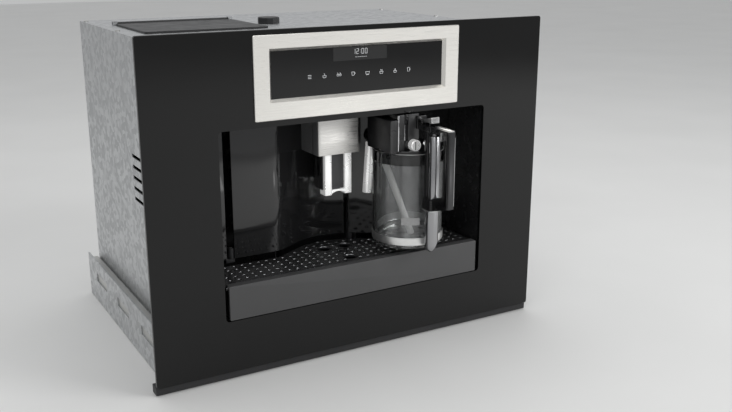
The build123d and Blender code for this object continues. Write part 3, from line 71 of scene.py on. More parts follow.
# ---------- materials ----------
class Finish:
    """A node material: one shader, with noise that varies its colour, roughness and surface."""

    def __init__(self, name, colour, roughness, metallic=0.0):
        self.material = bpy.data.materials.new(name)
        self.material.use_nodes = True
        self.nodes = self.material.node_tree.nodes
        self.links = self.material.node_tree.links
        self.shader = self.nodes["Principled BSDF"]
        self.shader.inputs["Base Color"].default_value = (*colour, 1)
        self.shader.inputs["Roughness"].default_value = roughness
        self.shader.inputs["Metallic"].default_value = metallic
        self.colour = colour
        self.place = self.nodes.new("ShaderNodeTexCoord").outputs["Object"]

    def set(self, **values):
        """Sets sockets of the shader by name, with spaces written as underscores."""
        for name, value in values.items():
            self.shader.inputs[name.replace("_", " ")].default_value = value
        return self

    def noise(self, scale, stretch=(1, 1, 1), detail=4.0):
        """Noise in real sizes: scale is features to the metre, before the stretch."""
        mapping = self.nodes.new("ShaderNodeMapping")
        mapping.inputs["Scale"].default_value = stretch
        self.links.new(self.place, mapping.inputs["Vector"])
        noise = self.nodes.new("ShaderNodeTexNoise")
        noise.inputs["Scale"].default_value = scale
        noise.inputs["Detail"].default_value = detail
        self.links.new(mapping.outputs["Vector"], noise.inputs["Vector"])
        return noise.outputs["Fac"]

    def spread(self, value, low, high, start=0.3, end=0.7):
        """Maps noise from start..end to low..high."""
        node = self.nodes.new("ShaderNodeMapRange")
        for name, number in (("From Min", start), ("From Max", end), ("To Min", low), ("To Max", high)):
            node.inputs[name].default_value = number
        self.links.new(value, node.inputs["Value"])
        return node.outputs["Result"]

    def tint(self, value, other):
        """Blends the colour towards another one where the noise is high."""
        mix = self.nodes.new("ShaderNodeMix")
        mix.data_type = "RGBA"
        mix.inputs["A"].default_value = (*self.colour, 1)
        mix.inputs["B"].default_value = (*other, 1)
        self.links.new(self.spread(value, 0, 1), mix.inputs["Factor"])
        self.links.new(mix.outputs["Result"], self.shader.inputs["Base Color"])
        return self

    def wear(self, value, low, high):
        """Varies the roughness."""
        self.links.new(self.spread(value, low, high), self.shader.inputs["Roughness"])
        return self

    def bump(self, value, strength, height=0.1):
        """Raises the surface by up to height millimetres."""
        node = self.nodes.new("ShaderNodeBump")
        node.inputs["Strength"].default_value = strength
        node.inputs["Distance"].default_value = height * MM
        self.links.new(value, node.inputs["Height"])
        self.links.new(node.outputs["Normal"], self.shader.inputs["Normal"])
        return self


BRUSH_ACROSS, BRUSH_ALONG = 60, 0.6
SPANGLES = 140
UPRIGHT = (1, 1, 0.02)


def scaled(colour, share, lift=0.0):
    """The same colour, lighter or darker."""
    return tuple(min(1, value * share + lift) for value in colour)


def black_glass(name, colour, roughness, gloss=0.5):
    """Gloss over a dark colour, slightly uneven in tone and roughness."""
    made = Finish(name, colour, roughness)
    made.tint(made.noise(9), scaled(colour, 1.25))
    made.wear(made.noise(22, detail=6), roughness, roughness + 0.05)
    return made.set(Specular_IOR_Level=gloss).material


def brushed(name, colour, along, roughness=0.28):
    """Steel brushed along one axis."""
    made = Finish(name, colour, roughness, metallic=1.0)
    stretch = [BRUSH_ACROSS] * 3
    stretch["XYZ".index(along)] = BRUSH_ALONG
    lines = made.noise(40, stretch, detail=8)
    made.tint(lines, scaled(colour, 0.86)).wear(lines, roughness - 0.06, roughness + 0.12)
    return made.bump(lines, 0.25, 0.02).material


def moulded(name, colour, roughness, grain=900, depth=0.03):
    """Moulded plastic with a fine grain."""
    made = Finish(name, colour, roughness)
    lighter = scaled(colour, 1.35, 0.002)
    made.tint(made.noise(14), lighter).wear(made.noise(60), roughness - 0.05, roughness + 0.08)
    return made.bump(made.noise(grain, detail=2), 0.35, depth).material


def sheet_metal(name, colour, roughness=0.38):
    """Galvanised sheet with its spangle."""
    made = Finish(name, colour, roughness, metallic=0.9)
    spangle = made.nodes.new("ShaderNodeTexVoronoi")
    spangle.inputs["Scale"].default_value = SPANGLES
    made.links.new(made.place, spangle.inputs["Vector"])
    grey = made.nodes.new("ShaderNodeRGBToBW")
    made.links.new(spangle.outputs["Color"], grey.inputs["Color"])
    shade = grey.outputs["Val"]
    return made.tint(shade, scaled(colour, 0.82)).wear(shade, roughness - 0.08, roughness + 0.1).material


def polished(name, colour=(0.86, 0.86, 0.87), roughness=0.06):
    """Chrome, with hardly visible handling marks."""
    made = Finish(name, colour, roughness, metallic=1.0)
    return made.wear(made.noise(120, detail=6), roughness, roughness + 0.06).material


def bright_metal(name, colour, roughness, glow):
    """Satin metal under side cards; a faint glow stands in for the cards, which the niche would hide."""
    made = Finish(name, colour, roughness, metallic=0.7)
    made.set(Emission_Color=(*colour, 1), Emission_Strength=glow)
    return made.wear(made.noise(120, detail=6), roughness, roughness + 0.06).material


def clear(name, colour, roughness=0.02, ior=1.45, haze=0.0):
    """Glass or clear plastic; haze is the share of light that its upright streaks scatter."""
    made = Finish(name, colour, roughness).set(Transmission_Weight=1.0, IOR=ior)
    if haze:
        clarity = made.spread(made.noise(55, UPRIGHT, detail=2), 1, 1 - haze, 0.35, 0.65)
        made.links.new(clarity, made.shader.inputs["Transmission Weight"])
    return made.wear(made.noise(35, detail=5), roughness, roughness + 0.04).material


def board(name):
    """Green circuit board with paler tracks."""
    made = Finish(name, (0.015, 0.09, 0.04), 0.35)
    tracks = made.noise(90, (1, 1, 6), detail=1)
    return made.tint(tracks, (0.03, 0.2, 0.09)).bump(tracks, 0.3, 0.05).material


def painted(name, colour, roughness):
    """Satin paint with a slight orange peel."""
    made = Finish(name, colour, roughness)
    made.tint(made.noise(6), scaled(colour, 1.12)).wear(made.noise(40), roughness - 0.04, roughness + 0.06)
    return made.bump(made.noise(420, detail=1), 0.12, 0.03).material


def ink(name, colour, glow):
    """Print on glass; glow is the light that comes through it, 0 for plain ink."""
    made = Finish(name, colour, 0.4)
    made.set(Emission_Color=(*colour, 1), Emission_Strength=glow)
    return made.tint(made.noise(300), scaled(colour, 0.85)).material


FINISHES = {
    "front_glass": black_glass("front_glass_black", (0.003, 0.003, 0.0031), 0.05, 0.36),
    "display_glass": black_glass("display_glass_black", (0.003, 0.003, 0.0033), 0.04, 0.4),
    "lcd": black_glass("lcd_grey", (0.01, 0.0102, 0.0105), 0.2),
    "gloss_black": black_glass("gloss_black_plastic", (0.006, 0.006, 0.0065), 0.08),
    "head_grey": painted("head_satin_grey", (0.04, 0.04, 0.041), 0.3),
    "housing_grey": painted("spout_housing_satin", (0.15, 0.15, 0.152), 0.34),
    "wall_black": black_glass("niche_wall_gloss", (0.015, 0.015, 0.0155), 0.06, 0.7),
    "grille_black": black_glass("grille_gloss", (0.032, 0.032, 0.0325), 0.07, 0.8),
    "bezel_steel": brushed("bezel_brushed_steel", (0.93, 0.91, 0.865), "X", 0.3),
    "spout_steel": brushed("spout_brushed_steel", (0.84, 0.825, 0.8), "X", 0.28),
    "ring_steel": brushed("ring_brushed_steel", (0.93, 0.93, 0.92), "X", 0.38),
    "satin_steel": bright_metal("satin_steel", (0.97, 0.97, 0.96), 0.26, 0.24),
    "dark_chrome": polished("dark_chrome", (0.37, 0.37, 0.38), 0.18),
    "grip_chrome": polished("grip_chrome", (0.075, 0.075, 0.077), 0.2),
    "rim_steel": polished("grille_rim_steel", (0.42, 0.42, 0.43), 0.14),
    "chrome": polished("chrome_polished"),
    "satin_grey": painted("tray_front_satin", (0.057, 0.057, 0.058), 0.42),
    "lever_metal": brushed("lever_satin_metal", (0.72, 0.72, 0.72), "X", 0.25),
    "black_plastic": moulded("black_moulded", (0.012, 0.012, 0.013), 0.42),
    "frame_plastic": moulded("frame_moulded", (0.014, 0.014, 0.015), 0.5),
    "liner_plastic": moulded("liner_moulded", (0.012, 0.012, 0.0125), 0.24),
    "grey_plastic": moulded("grey_moulded", (0.2, 0.2, 0.21), 0.45),
    "panel_grey": moulded("spout_panel_moulded", (0.04, 0.04, 0.0415), 0.35),
    "hose": moulded("milk_hose_silicone", (0.62, 0.62, 0.61), 0.4, depth=0.01),
    "galvanised": sheet_metal("galvanised_sheet", (0.58, 0.59, 0.6)),
    "zinc": brushed("zinc_plated_steel", (0.62, 0.62, 0.6), "Y", 0.34),
    "aluminium": moulded("cast_aluminium", (0.42, 0.42, 0.43), 0.4, 500, 0.08),
    "tool_steel": brushed("ground_tool_steel", (0.5, 0.5, 0.5), "Z", 0.3),
    "boiler": brushed("boiler_steel", (0.6, 0.6, 0.6), "X", 0.3),
    "motor": painted("motor_paint", (0.03, 0.03, 0.033), 0.4),
    "brass": brushed("valve_brass", (0.66, 0.48, 0.2), "Z", 0.3),
    "board": board("circuit_board"),
    "jug_glass": clear("jug_clear_glass", (0.93, 0.94, 0.94), haze=0.13),
    "clear_plastic": clear("clear_moulded_plastic", (0.86, 0.89, 0.9), 0.06, 1.5),
    "smoked": clear("smoked_plastic", (0.2, 0.2, 0.205), 0.05, 1.5),
    "icon_print": ink("icon_print", (0.55, 0.56, 0.57), 0.35),
    "mark_print": ink("level_print", (0.4, 0.4, 0.4), 0.0),
}

# The nodes that keep their CAD mesh, by finish.
CARRIED = {
    "galvanised": ["cabinet_frame", "base_pan", "side_panel_left", "side_panel_right", "rear_panel",
                   "top_cover", "chassis_shelf"],
    "zinc": ["outer_slides", "middle_slides", "inner_slides", "case_screws", "hinge_pins"],
    "frame_plastic": ["front_frame"], "front_glass": ["front_glass"], "bezel_steel": ["display_bezel"],
    "display_glass": ["display_glass"], "liner_plastic": ["niche_liner"], "housing_grey": ["spout_housing"],
    "board": ["touch_board", "control_board"],
    "black_plastic": ["steam_nozzle", "grounds_container", "power_inlet", "grind_knob", "bean_lid",
                      "power_switch", "tank_lid", "drip_tray", "tray_float"],
    "grey_plastic": ["brew_unit", "brew_piston"],
    "clear_plastic": ["bean_hopper", "water_tank"],
    "motor": ["grinder_motor", "water_pump"],
    "aluminium": ["grinder_body", "thermoblock"],
    "tool_steel": ["burr_ring", "burr_cone"],
    "boiler": ["steam_boiler"], "brass": ["solenoid_valve"],
}


def dress_carried():
    for finish, nodes in CARRIED.items():
        for node in nodes:
            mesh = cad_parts[node].data
            mesh.materials.clear()
            mesh.materials.append(FINISHES[finish])


# ---------- mesh helpers ----------
def shaded(mesh, sharp=38):
    """Smooth shading that breaks at sharp edges."""
    mesh.polygons.foreach_set("use_smooth", [True] * len(mesh.polygons))
    mesh.set_sharp_from_angle(angle=math.radians(sharp))
    return mesh


def placed(name, data):
    """A new object in the scene."""
    made = bpy.data.objects.new(name, data)
    bpy.context.collection.objects.link(made)
    return made


def from_bmesh(name, shape):
    """A mesh with its faces outwards; the bmesh goes."""
    bmesh.ops.recalc_face_normals(shape, faces=shape.faces)
    mesh = bpy.data.meshes.new(name)
    shape.to_mesh(mesh)
    shape.free()
    return shaded(mesh)


def round_edges(shape, size, segments=3, over=30):
    """Rounds every edge that turns by more than an angle."""
    edges = [edge for edge in shape.edges if edge.calc_face_angle(0) > math.radians(over)]
    bmesh.ops.bevel(shape, geom=edges, offset=size * MM, segments=segments, profile=0.5, affect="EDGES",
                    clamp_overlap=True)


ALONG = {
    "X": lambda u, v, w: at(w, u, v),
    "Y": lambda u, v, w: at(u, w, v),
    "Z": lambda u, v, w: at(u, v, w),
}


def prism(name, outline, low, high, along="Z", edge=0.5, segments=3):
    """A solid with a drawn outline, straight along one axis, with rounded edges."""
    place = ALONG[along]
    shape = bmesh.new()
    rings = [[shape.verts.new(place(u, v, level)) for u, v in outline] for level in (low, high)]
    count = len(outline)
    shape.faces.new(rings[0])
    shape.faces.new(rings[1][::-1])
    for i in range(count):
        j = (i + 1) % count
        shape.faces.new((rings[0][i], rings[1][i], rings[1][j], rings[0][j]))
    bmesh.ops.recalc_face_normals(shape, faces=shape.faces)
    if edge:
        round_edges(shape, edge, segments)
    return from_bmesh(name, shape)


def rectangle(u, v):
    """The corners of a rectangle between two values each way."""
    return [(u[0], v[0]), (u[1], v[0]), (u[1], v[1]), (u[0], v[1])]


def block(name, x, y, z, edge=0.5, segments=3):
    """A block between two values on each axis, with rounded edges."""
    return prism(name, rectangle(x, y), *z, "Z", edge, segments)


def turned(name, profile, centre, along="Z", steps=96):
    """A turned solid. The profile is a loop of (radius, distance along the axis) about centre."""
    shape = bmesh.new()
    place = ALONG[along]
    rings = []
    for radius, level in profile:
        spokes = circle(*centre, radius, steps) if radius else [centre]
        rings.append([shape.verts.new(place(u, v, level)) for u, v in spokes])
    for first, second in zip(rings, rings[1:] + rings[:1]):
        if len(first) == 1 and len(second) == 1:
            continue
        for i in range(steps):
            j = (i + 1) % steps
            corners = [ring[k % len(ring)] for ring, k in ((first, i), (first, j), (second, j), (second, i))]
            shape.faces.new(list(dict.fromkeys(corners)))
    return from_bmesh(name, shape)


def rounded_corners(outline, radii, steps=6):
    """An outline with its corners rounded; radii is one value or one for each corner."""
    count = len(outline)
    if not isinstance(radii, (list, tuple)):
        radii = [radii] * count
    result = []
    for i, (corner, radius) in enumerate(zip(outline, radii)):
        if not radius:
            result.append(corner)
            continue
        here = Vector(corner)
        before = (Vector(outline[i - 1]) - here).normalized()
        after = (Vector(outline[(i + 1) % count]) - here).normalized()
        half = before.angle(after) / 2
        reach = radius / math.tan(half)
        centre = here + (before + after).normalized() * (radius / math.sin(half))
        start = here + before * reach - centre
        turn = start.angle_signed(here + after * reach - centre)
        for k in range(steps + 1):
            spoke = start.copy()
            spoke.rotate(Matrix.Rotation(-turn * k / steps, 2))
            result.append(tuple(centre + spoke))
    return result


def rounded_box(x, y, radii, steps=6):
    """A rectangle with rounded corners, which radii takes in the order of rectangle."""
    return rounded_corners(rectangle(x, y), radii, steps)


def joined(name, meshes):
    """One mesh from several."""
    shape = bmesh.new()
    for mesh in meshes:
        shape.from_mesh(mesh)
        bpy.data.meshes.remove(mesh)
    return from_bmesh(name, shape)


def mesh_of(curve):
    """The mesh that a curve makes; the curve itself goes."""
    holder = placed(curve.name, curve)
    bpy.context.view_layer.update()
    mesh = bpy.data.meshes.new_from_object(holder.evaluated_get(bpy.context.evaluated_depsgraph_get()))
    mesh.name = curve.name
    bpy.data.objects.remove(holder)
    bpy.data.curves.remove(curve)
    return mesh


def tube(name, points, radius):
    """A round tube along a smooth line."""
    curve = bpy.data.curves.new(name, "CURVE")
    curve.dimensions = "3D"
    curve.bevel_depth = radius * MM
    curve.bevel_resolution = 6
    curve.use_fill_caps = True
    spline = curve.splines.new("NURBS")
    spline.points.add(len(points) - 1)
    for point, place in zip(spline.points, points):
        point.co = (*at(*place), 1)
    spline.order_u = 3
    spline.use_endpoint_u = True
    spline.resolution_u = 12
    return shaded(mesh_of(curve))


def flat_plate(name, outline, holes, low, high, edge):
    """A level plate with holes, its rims rounded by edge."""
    curve = bpy.data.curves.new(name, "CURVE")
    curve.dimensions = "2D"
    curve.fill_mode = "BOTH"
    curve.extrude = ((high - low) / 2 - edge) * MM
    curve.bevel_depth = edge * MM
    curve.bevel_resolution = 1
    curve.offset = -edge * MM
    for loop in [outline] + holes:
        spline = curve.splines.new("POLY")
        spline.points.add(len(loop) - 1)
        for point, (x, y) in zip(spline.points, loop):
            place = at(x, y, 0)
            point.co = (place.x, place.y, 0, 1)
        spline.use_cyclic_u = True
    mesh = mesh_of(curve)
    mesh.transform(Matrix.Translation((0, 0, (low + high) / 2 * MM)))
    return shaded(mesh, 50)


def piece(name, mesh, finish, body, replaced=()):
    """A piece of the object, riding on its body. A list of meshes becomes one."""
    if isinstance(mesh, list):
        mesh = joined(name, mesh)
    mesh.materials.clear()
    mesh.materials.append(FINISHES[finish])
    made = placed(name, mesh)
    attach(made, body)
    if replaced:
        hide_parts(*replaced)


def arc(x, y, radius, start, end, steps):
    """Points on a round arc, from one angle to another."""
    turns = [start + (end - start) * i / steps for i in range(steps + 1)]
    return [(x + radius * math.cos(a), y + radius * math.sin(a)) for a in turns]


def circle(x, y, radius, steps):
    return arc(x, y, radius, 0, 2 * math.pi, steps)[:-1]


# ---------- the niche's curved back ----------
NICHE_HALF = 201
BAY_HALF, BAY_RADIUS, BAY_TURN, BAY_STEPS = 92, 27, math.radians(31.3), 12
BOWL_HALF, BOWL_STEPS = 50, 20
WALL_LINE, WALL_SHEET, WALL_EDGE = 87.5, 3, 0.9
WALL_FACE = WALL_LINE - WALL_SHEET / 2
KNUCKLE, KNUCKLE_HIGH, HINGE_SETBACK, PIN_PLAY = 5, 15, 4.5, 2.55
HINGE_X, HINGE_Y = span("door_panel", "X")[0] + KNUCKLE, WALL_LINE + HINGE_SETBACK
DOOR_LEFT, DOOR_RIGHT = HINGE_X + 3.5, span("door_panel", "X")[1]
DOOR_LOW, DOOR_HIGH = span("door_panel", "Z")
SEAM_LEFT, LUG, LUG_FRONT = -163.5, 6, HINGE_Y - 2.8


def bay_path(flat):
    """Points (x, y, heading) on the niche's back: flat, turn, slope, half the bowl, then mirrored."""
    path = [(-NICHE_HALF, flat, 0), (-BAY_HALF, flat, 0)]

    def turn(radius, angle, steps):
        x, y, heading = path[-1]
        part = angle / steps
        chord = 2 * radius * math.sin(abs(part) / 2)
        for _ in range(steps):
            x += chord * math.cos(heading + part / 2)
            y += chord * math.sin(heading + part / 2)
            heading += part
            path.append((x, y, heading))

    turn(BAY_RADIUS, BAY_TURN, BAY_STEPS)
    x, y, heading = path[-1]
    path.append((-BOWL_HALF, y + (-BOWL_HALF - x) * math.tan(heading), heading))
    turn(BOWL_HALF / math.sin(BAY_TURN), -BAY_TURN, BOWL_STEPS)
    return path + [(-x, y, -heading) for x, y, heading in reversed(path[:-1])]


def stretch_of(path, left, right):
    """The part of a path between two X values."""
    result = []
    for (x0, y0, h0), (x1, y1, h1) in zip(path, path[1:]):
        for x in (left, right):
            if x0 < x < x1:
                share = (x - x0) / (x1 - x0)
                result.append((x, y0 + share * (y1 - y0), h0 + share * (h1 - h0)))
        if left <= x1 <= right:
            result.append((x1, y1, h1))
    if left <= path[0][0]:
        result.append(path[0])
    return sorted(result)


def wall(name, body, node, x_span, z_span):
    """A sheet of the niche's back between two X values, in place of a CAD node."""
    path = stretch_of(bay_path(WALL_LINE), *x_span)
    front, back = ([(x + side * math.sin(h), y - side * math.cos(h)) for x, y, h in path]
                   for side in (WALL_SHEET / 2, -WALL_SHEET / 2))
    skin = prism(name, front + back[::-1], *z_span, "Z", WALL_EDGE, 2)
    piece(name, skin, "wall_black", body, [node])


def build_door():
    wall("door_skin", "service_door", "door_panel", (DOOR_LEFT, DOOR_RIGHT), (DOOR_LOW, DOOR_HIGH))
    arm_x, arm_y = (DOOR_LEFT + 0.2, DOOR_LEFT + 5), (WALL_FACE + 0.5, HINGE_Y)
    parts = []
    for low in (DOOR_LOW, DOOR_HIGH - KNUCKLE_HIGH):
        z = (low, low + KNUCKLE_HIGH)
        parts.append(turned("knuckle", rectangle((PIN_PLAY, KNUCKLE), z), (HINGE_X, HINGE_Y), steps=32))
        parts.append(block("arm", arm_x, arm_y, z, 0.4))
    piece("door_knuckles", parts, "black_plastic", "service_door")


def build_fixed_walls():
    low, high = span("niche_wall_left", "Z")
    wall("niche_wall_left_skin", "machine", "niche_wall_left", (-NICHE_HALF, SEAM_LEFT), (DOOR_LOW, high))
    lug_y = (LUG_FRONT, HINGE_Y + KNUCKLE)
    lug = [block("lug", (SEAM_LEFT - LUG, HINGE_X + KNUCKLE), lug_y, (low, low + LUG), 0.4),
           block("lug_root", (SEAM_LEFT - LUG, SEAM_LEFT), lug_y, (low, DOOR_LOW + LUG), 0.4)]
    piece("hinge_lug", lug, "black_plastic", "machine")
    node = "niche_wall_right"
    wall("niche_wall_right_skin", "machine", node, span(node, "X"), span(node, "Z"))


# ---------- drip tray ----------
GRILLE_LOW, GRILLE_TOP = span("drip_grille", "Z")
GRILLE_HALF = width("drip_grille", "X") / 2
GRILLE_FRONT, GRILLE_LINE, GRILLE_EDGE = span("drip_grille", "Y")[0], 85.5, 0.7
HOLE_PITCH, HOLE_ROWS, HOLE_RADIUS = 12.3, 9, 2.2
HOLE_FRONT, HOLE_RIM, GRID_X = 29, 3.7, 2.9
CUP_RINGS = ((-13.6, 85.5), (19.3, 86.7), (2.9, 36.7))
RING_RADIUS, RING_HOLE = 10, 7.5
FLOAT = (middle("tray_float", "X"), middle("tray_float", "Y"))
FLOAT_HOLE = 4.8
# The plate's bright rims: faces whose normals are upright by a share between these.
RIM_TILT = (0.2, 0.97)
LEAST_RUN = 0.001
LIP_DEPTH, PANEL_DEPTH = 3, 4


def grille_holes(back):
    """The small holes that stay inside the rim and off the round openings."""

    def back_at(x):
        near = [pair for pair in zip(back, back[1:]) if pair[0][0] <= x <= pair[1][0]]
        (x0, y0), (x1, y1) = near[0] if near else back[:2]
        return y0 + (y1 - y0) * (x - x0) / max(x1 - x0, LEAST_RUN)

    holes = []
    columns = int(GRILLE_HALF / HOLE_PITCH)
    for column in range(-columns, columns + 1):
        x = GRID_X + column * HOLE_PITCH
        if abs(x) > GRILLE_HALF - HOLE_RIM:
            continue
        for row in range(HOLE_ROWS):
            y = HOLE_FRONT + row * HOLE_PITCH
            room = min(back_at(x + side * HOLE_RIM) for side in (-1, 0, 1)) - HOLE_RIM
            off_rings = all(math.dist((x, y), ring) > RING_RADIUS + 2 * HOLE_RADIUS for ring in CUP_RINGS)
            if y < room and off_rings and math.dist((x, y), FLOAT) > FLOAT_HOLE + 2 * HOLE_RADIUS:
                holes.append(circle(x, y, HOLE_RADIUS, 14))
    return holes


def build_grille():
    back = [(x, y) for x, y, _ in stretch_of(bay_path(GRILLE_LINE), -GRILLE_HALF, GRILLE_HALF)]
    outline = [(GRILLE_HALF, GRILLE_FRONT), (-GRILLE_HALF, GRILLE_FRONT)] + back
    holes = grille_holes(back)
    holes += [circle(x, y, RING_RADIUS, 40) for x, y in CUP_RINGS]
    holes.append(circle(*FLOAT, FLOAT_HOLE, 28))
    plate = flat_plate("grille_plate", outline, holes, GRILLE_LOW, GRILLE_TOP, GRILLE_EDGE)
    piece("grille_plate", plate, "grille_black", "drip_tray", ["drip_grille"])
    plate.materials.append(FINISHES["rim_steel"])
    for face in plate.polygons:
        face.material_index = int(RIM_TILT[0] < abs(face.normal.z) < RIM_TILT[1])
    seat = rectangle((RING_HOLE, RING_RADIUS + 0.1), (GRILLE_LOW + 0.2, GRILLE_TOP - 1))
    for number, place in enumerate(CUP_RINGS):
        made = turned("cup_ring", seat, place, steps=40)
        piece(f"cup_ring_{number + 1}", made, "black_plastic", "drip_tray")


def build_tray_front():
    x, z = span("tray_front", "X"), span("tray_front", "Z")
    front = prism("front", rounded_box(x, z, 1.2, 4), 0, PANEL_DEPTH, "Y", 0.6)
    lip = block("lip", x, (LIP_DEPTH, span("tray_front", "Y")[1]), (GRILLE_TOP + 0.2, z[1]), 0.5)
    piece("tray_front_panel", [front, lip], "satin_grey", "drip_tray", ["tray_front"])


# ---------- coffee spout ----------
LEG_IN, LEG_OUT = 10, 21.5
LEGS_FRONT, LEGS_BACK = span("spout_legs", "Y")
LEGS_LOW, LEGS_TOP = span("spout_legs", "Z")
ARCH_LOW, ARCH_RISE, ARCH_STEPS = LEGS_LOW + 1.6, 3.2, 20
BRIDGE_TOP, BRIDGE_REACH = LEGS_LOW + 7.6, LEG_IN + 0.6
BRIDGE_Y = (LEGS_FRONT + 0.6, LEGS_FRONT + 3.8)
COVER_CORNER, COVER_SHEET = 4, 1.2
# Faces of the cover that look sideways by more than this share are painted.
SIDEWAYS = 0.9
REAR_DEPTH, CHEEK_SETBACK = 17, 15


def cover_outline(inset):
    """The plan of the wrap-around cover's face, moved inwards."""
    half, front = width("spout_cover", "X") / 2 - inset, span("spout_cover", "Y")[0] + inset
    back, corner = span("spout_cover", "Y")[1], COVER_CORNER - inset
    plan = [(-half, back), (-half, front), (half, front), (half, back)]
    return rounded_corners(plan, [0, corner, corner, 0], 10)


def build_spout_cover():
    outline = cover_outline(0) + cover_outline(COVER_SHEET)[::-1]
    skin = prism("spout_skin", outline, *span("spout_cover", "Z"), "Z", 0.25, 2)
    piece("spout_skin", skin, "spout_steel", "service_door", ["spout_cover"])
    skin.materials.append(FINISHES["housing_grey"])
    for face in skin.polygons:
        face.material_index = int(abs(face.normal.x) > SIDEWAYS)


def bridge_outline():
    """The bridge between the legs, seen from the front, arched underneath."""
    shares = [i / ARCH_STEPS for i in range(ARCH_STEPS + 1)]
    arch = [(BRIDGE_REACH - 2 * BRIDGE_REACH * share, ARCH_LOW + ARCH_RISE * math.sin(math.pi * share))
            for share in shares]
    return [(-BRIDGE_REACH, BRIDGE_TOP), (BRIDGE_REACH, BRIDGE_TOP)] + arch


def build_spout_legs():
    lip = [(2, LEGS_LOW + 0.4), (5.2, LEGS_LOW + 0.4), (5.4, LEGS_LOW + 1.6), (2, LEGS_LOW + 1.6)]
    legs = []
    for side in (-1, 1):
        plan = rounded_box(sorted((side * LEG_IN, side * LEG_OUT)), (LEGS_FRONT, LEGS_BACK), [2, 2, 1, 1])
        legs.append(prism("leg", plan, LEGS_LOW, LEGS_TOP, "Z", 0.6))
        centre = (side * (LEG_IN + LEG_OUT) / 2, (LEGS_FRONT + LEGS_BACK) / 2)
        legs.append(turned("nozzle", lip, centre, steps=32))
    legs.append(prism("bridge", bridge_outline(), *BRIDGE_Y, "Y", 0.6))
    piece("spout_legs_chrome", legs, "satin_steel", "coffee_spout", ["spout_legs"])


def build_spout_body():
    half = width("spout_body", "X") / 2
    front, back = span("spout_body", "Y")
    low, high = span("spout_body", "Z")
    core = rounded_box((-LEG_IN + 0.1, LEG_IN - 0.1), (front + 0.3, back), 0.5)
    rear = rounded_box((-half, half), (back - REAR_DEPTH, back), [0.5, 0.5, 4, 4])
    body = [prism("body", core, low, high, "Z", 0), prism("rear", rear, low, high, "Z", 0.6)]
    for side in (-1, 1):
        cheek = sorted((side * (LEG_OUT + 0.2), side * half))
        body.append(block("cheek", cheek, (front + 0.4, back - CHEEK_SETBACK), (low, high), 0.8))
    piece("spout_core", body, "gloss_black", "coffee_spout", ["spout_body"])
    panel_x, panel_y = (-LEG_IN + 0.2, LEG_IN - 0.2), (front - 1, front + 0.4)
    panel = block("spout_panel", panel_x, panel_y, (low + 0.2, high - 1), 0.4)
    piece("spout_panel", panel, "panel_grey", "coffee_spout")


# ---------- milk carafe ----------
JUG_X, JUG_Y = JUG = (middle("milk_jug", "X"), middle("milk_jug", "Y"))
JUG_RADIUS, JUG_WALL = width("milk_jug", "X") / 2, 2.4
JUG_LOW, JUG_HIGH = span("milk_jug", "Z")
BAND_OUT = JUG_RADIUS + 1
COLLAR_TOP = span("jug_collar", "Z")[1]
LID_TOP = COLLAR_TOP + 4.2
ROUND_STEPS = 128
INTAKE_X, HOSE_RADIUS, SPIGOT_RADIUS = 56, 4.6, 4.5
BAR_ANGLES, BAR_LEVEL = (-132, -102.5), (176.4, 187)

HEAD_LEFT, HEAD_RIGHT, HEAD_FRONT, HEAD_BACK = 59, 92.6, 2, 66
HEAD_LOW, HEAD_TOP = span("frother_head", "Z")
SLOT_X, SLOT_Z = (69.8, 75.4), (HEAD_TOP - 36, HEAD_TOP - 14.5)
FACE_Y = (HEAD_FRONT, HEAD_FRONT + 4)
CHANNEL_LEFT, CHANNEL_TOP = 47, HEAD_TOP - 7
ARM_LOW, ARM_TOP, ARM_END = HEAD_TOP - 21, HEAD_TOP - 13, -2
FITTING_LOW, FITTING_Y, FITTINGS_X = HEAD_TOP - 22, 46, (55, 62)
KNOB_RADIUS, KNOB_DEPTH, KNOB_SHAFT = 7.8, 10.5, 2.9
PIPE_Y, PIPE_LEAN, PIVOT_BACK = 79.5, 5.4, 85.4
PIVOT_X, PIVOT_Z, PIVOT_RADIUS, PIVOT_BORE = 60, LID_TOP + 9, 8.5, 3.05


def glass_profile():
    """Half the jug's section: a domed foot, the outside, the rim and the inside."""
    outer, inner, low, high = JUG_RADIUS, JUG_RADIUS - JUG_WALL, JUG_LOW, JUG_HIGH
    foot = [(0, low + 1.5), (outer - 12.4, low + 1.5), (outer - 9.4, low + 0.2), (outer - 4.9, low)]
    foot += [(outer - 1.9, low + 1.4), (outer - 0.3, low + 4), (outer, low + 7)]
    rim = [(outer, high - 0.8), (outer - 0.5, high - 0.1), (outer - 1.8, high - 0.1), (inner, high - 0.8)]
    return foot + rim + [(inner, low + 10), (inner - 1, low + 6.5), (inner - 4, low + 4.6), (0, low + 4.2)]


def ring(name, profile):
    """A ring turned about the jug's axis."""
    return turned(name, profile, JUG, steps=ROUND_STEPS)


def build_jug():
    glass = turned("jug_glass", glass_profile(), JUG, steps=ROUND_STEPS)
    piece("jug_glass", glass, "jug_glass", "milk_carafe", ["milk_jug"])
    low, high = span("jug_base_ring", "Z")
    inner, outer = JUG_RADIUS + 0.05, BAND_OUT
    band = ring("base_band", [
        (inner, low + 0.1), (outer - 0.2, low + 0.1), (outer, low + 0.7), (outer, high - 0.7),
        (outer - 0.2, high - 0.1), (inner, high - 0.1),
    ])
    piece("base_band", band, "ring_steel", "milk_carafe", ["jug_base_ring"])


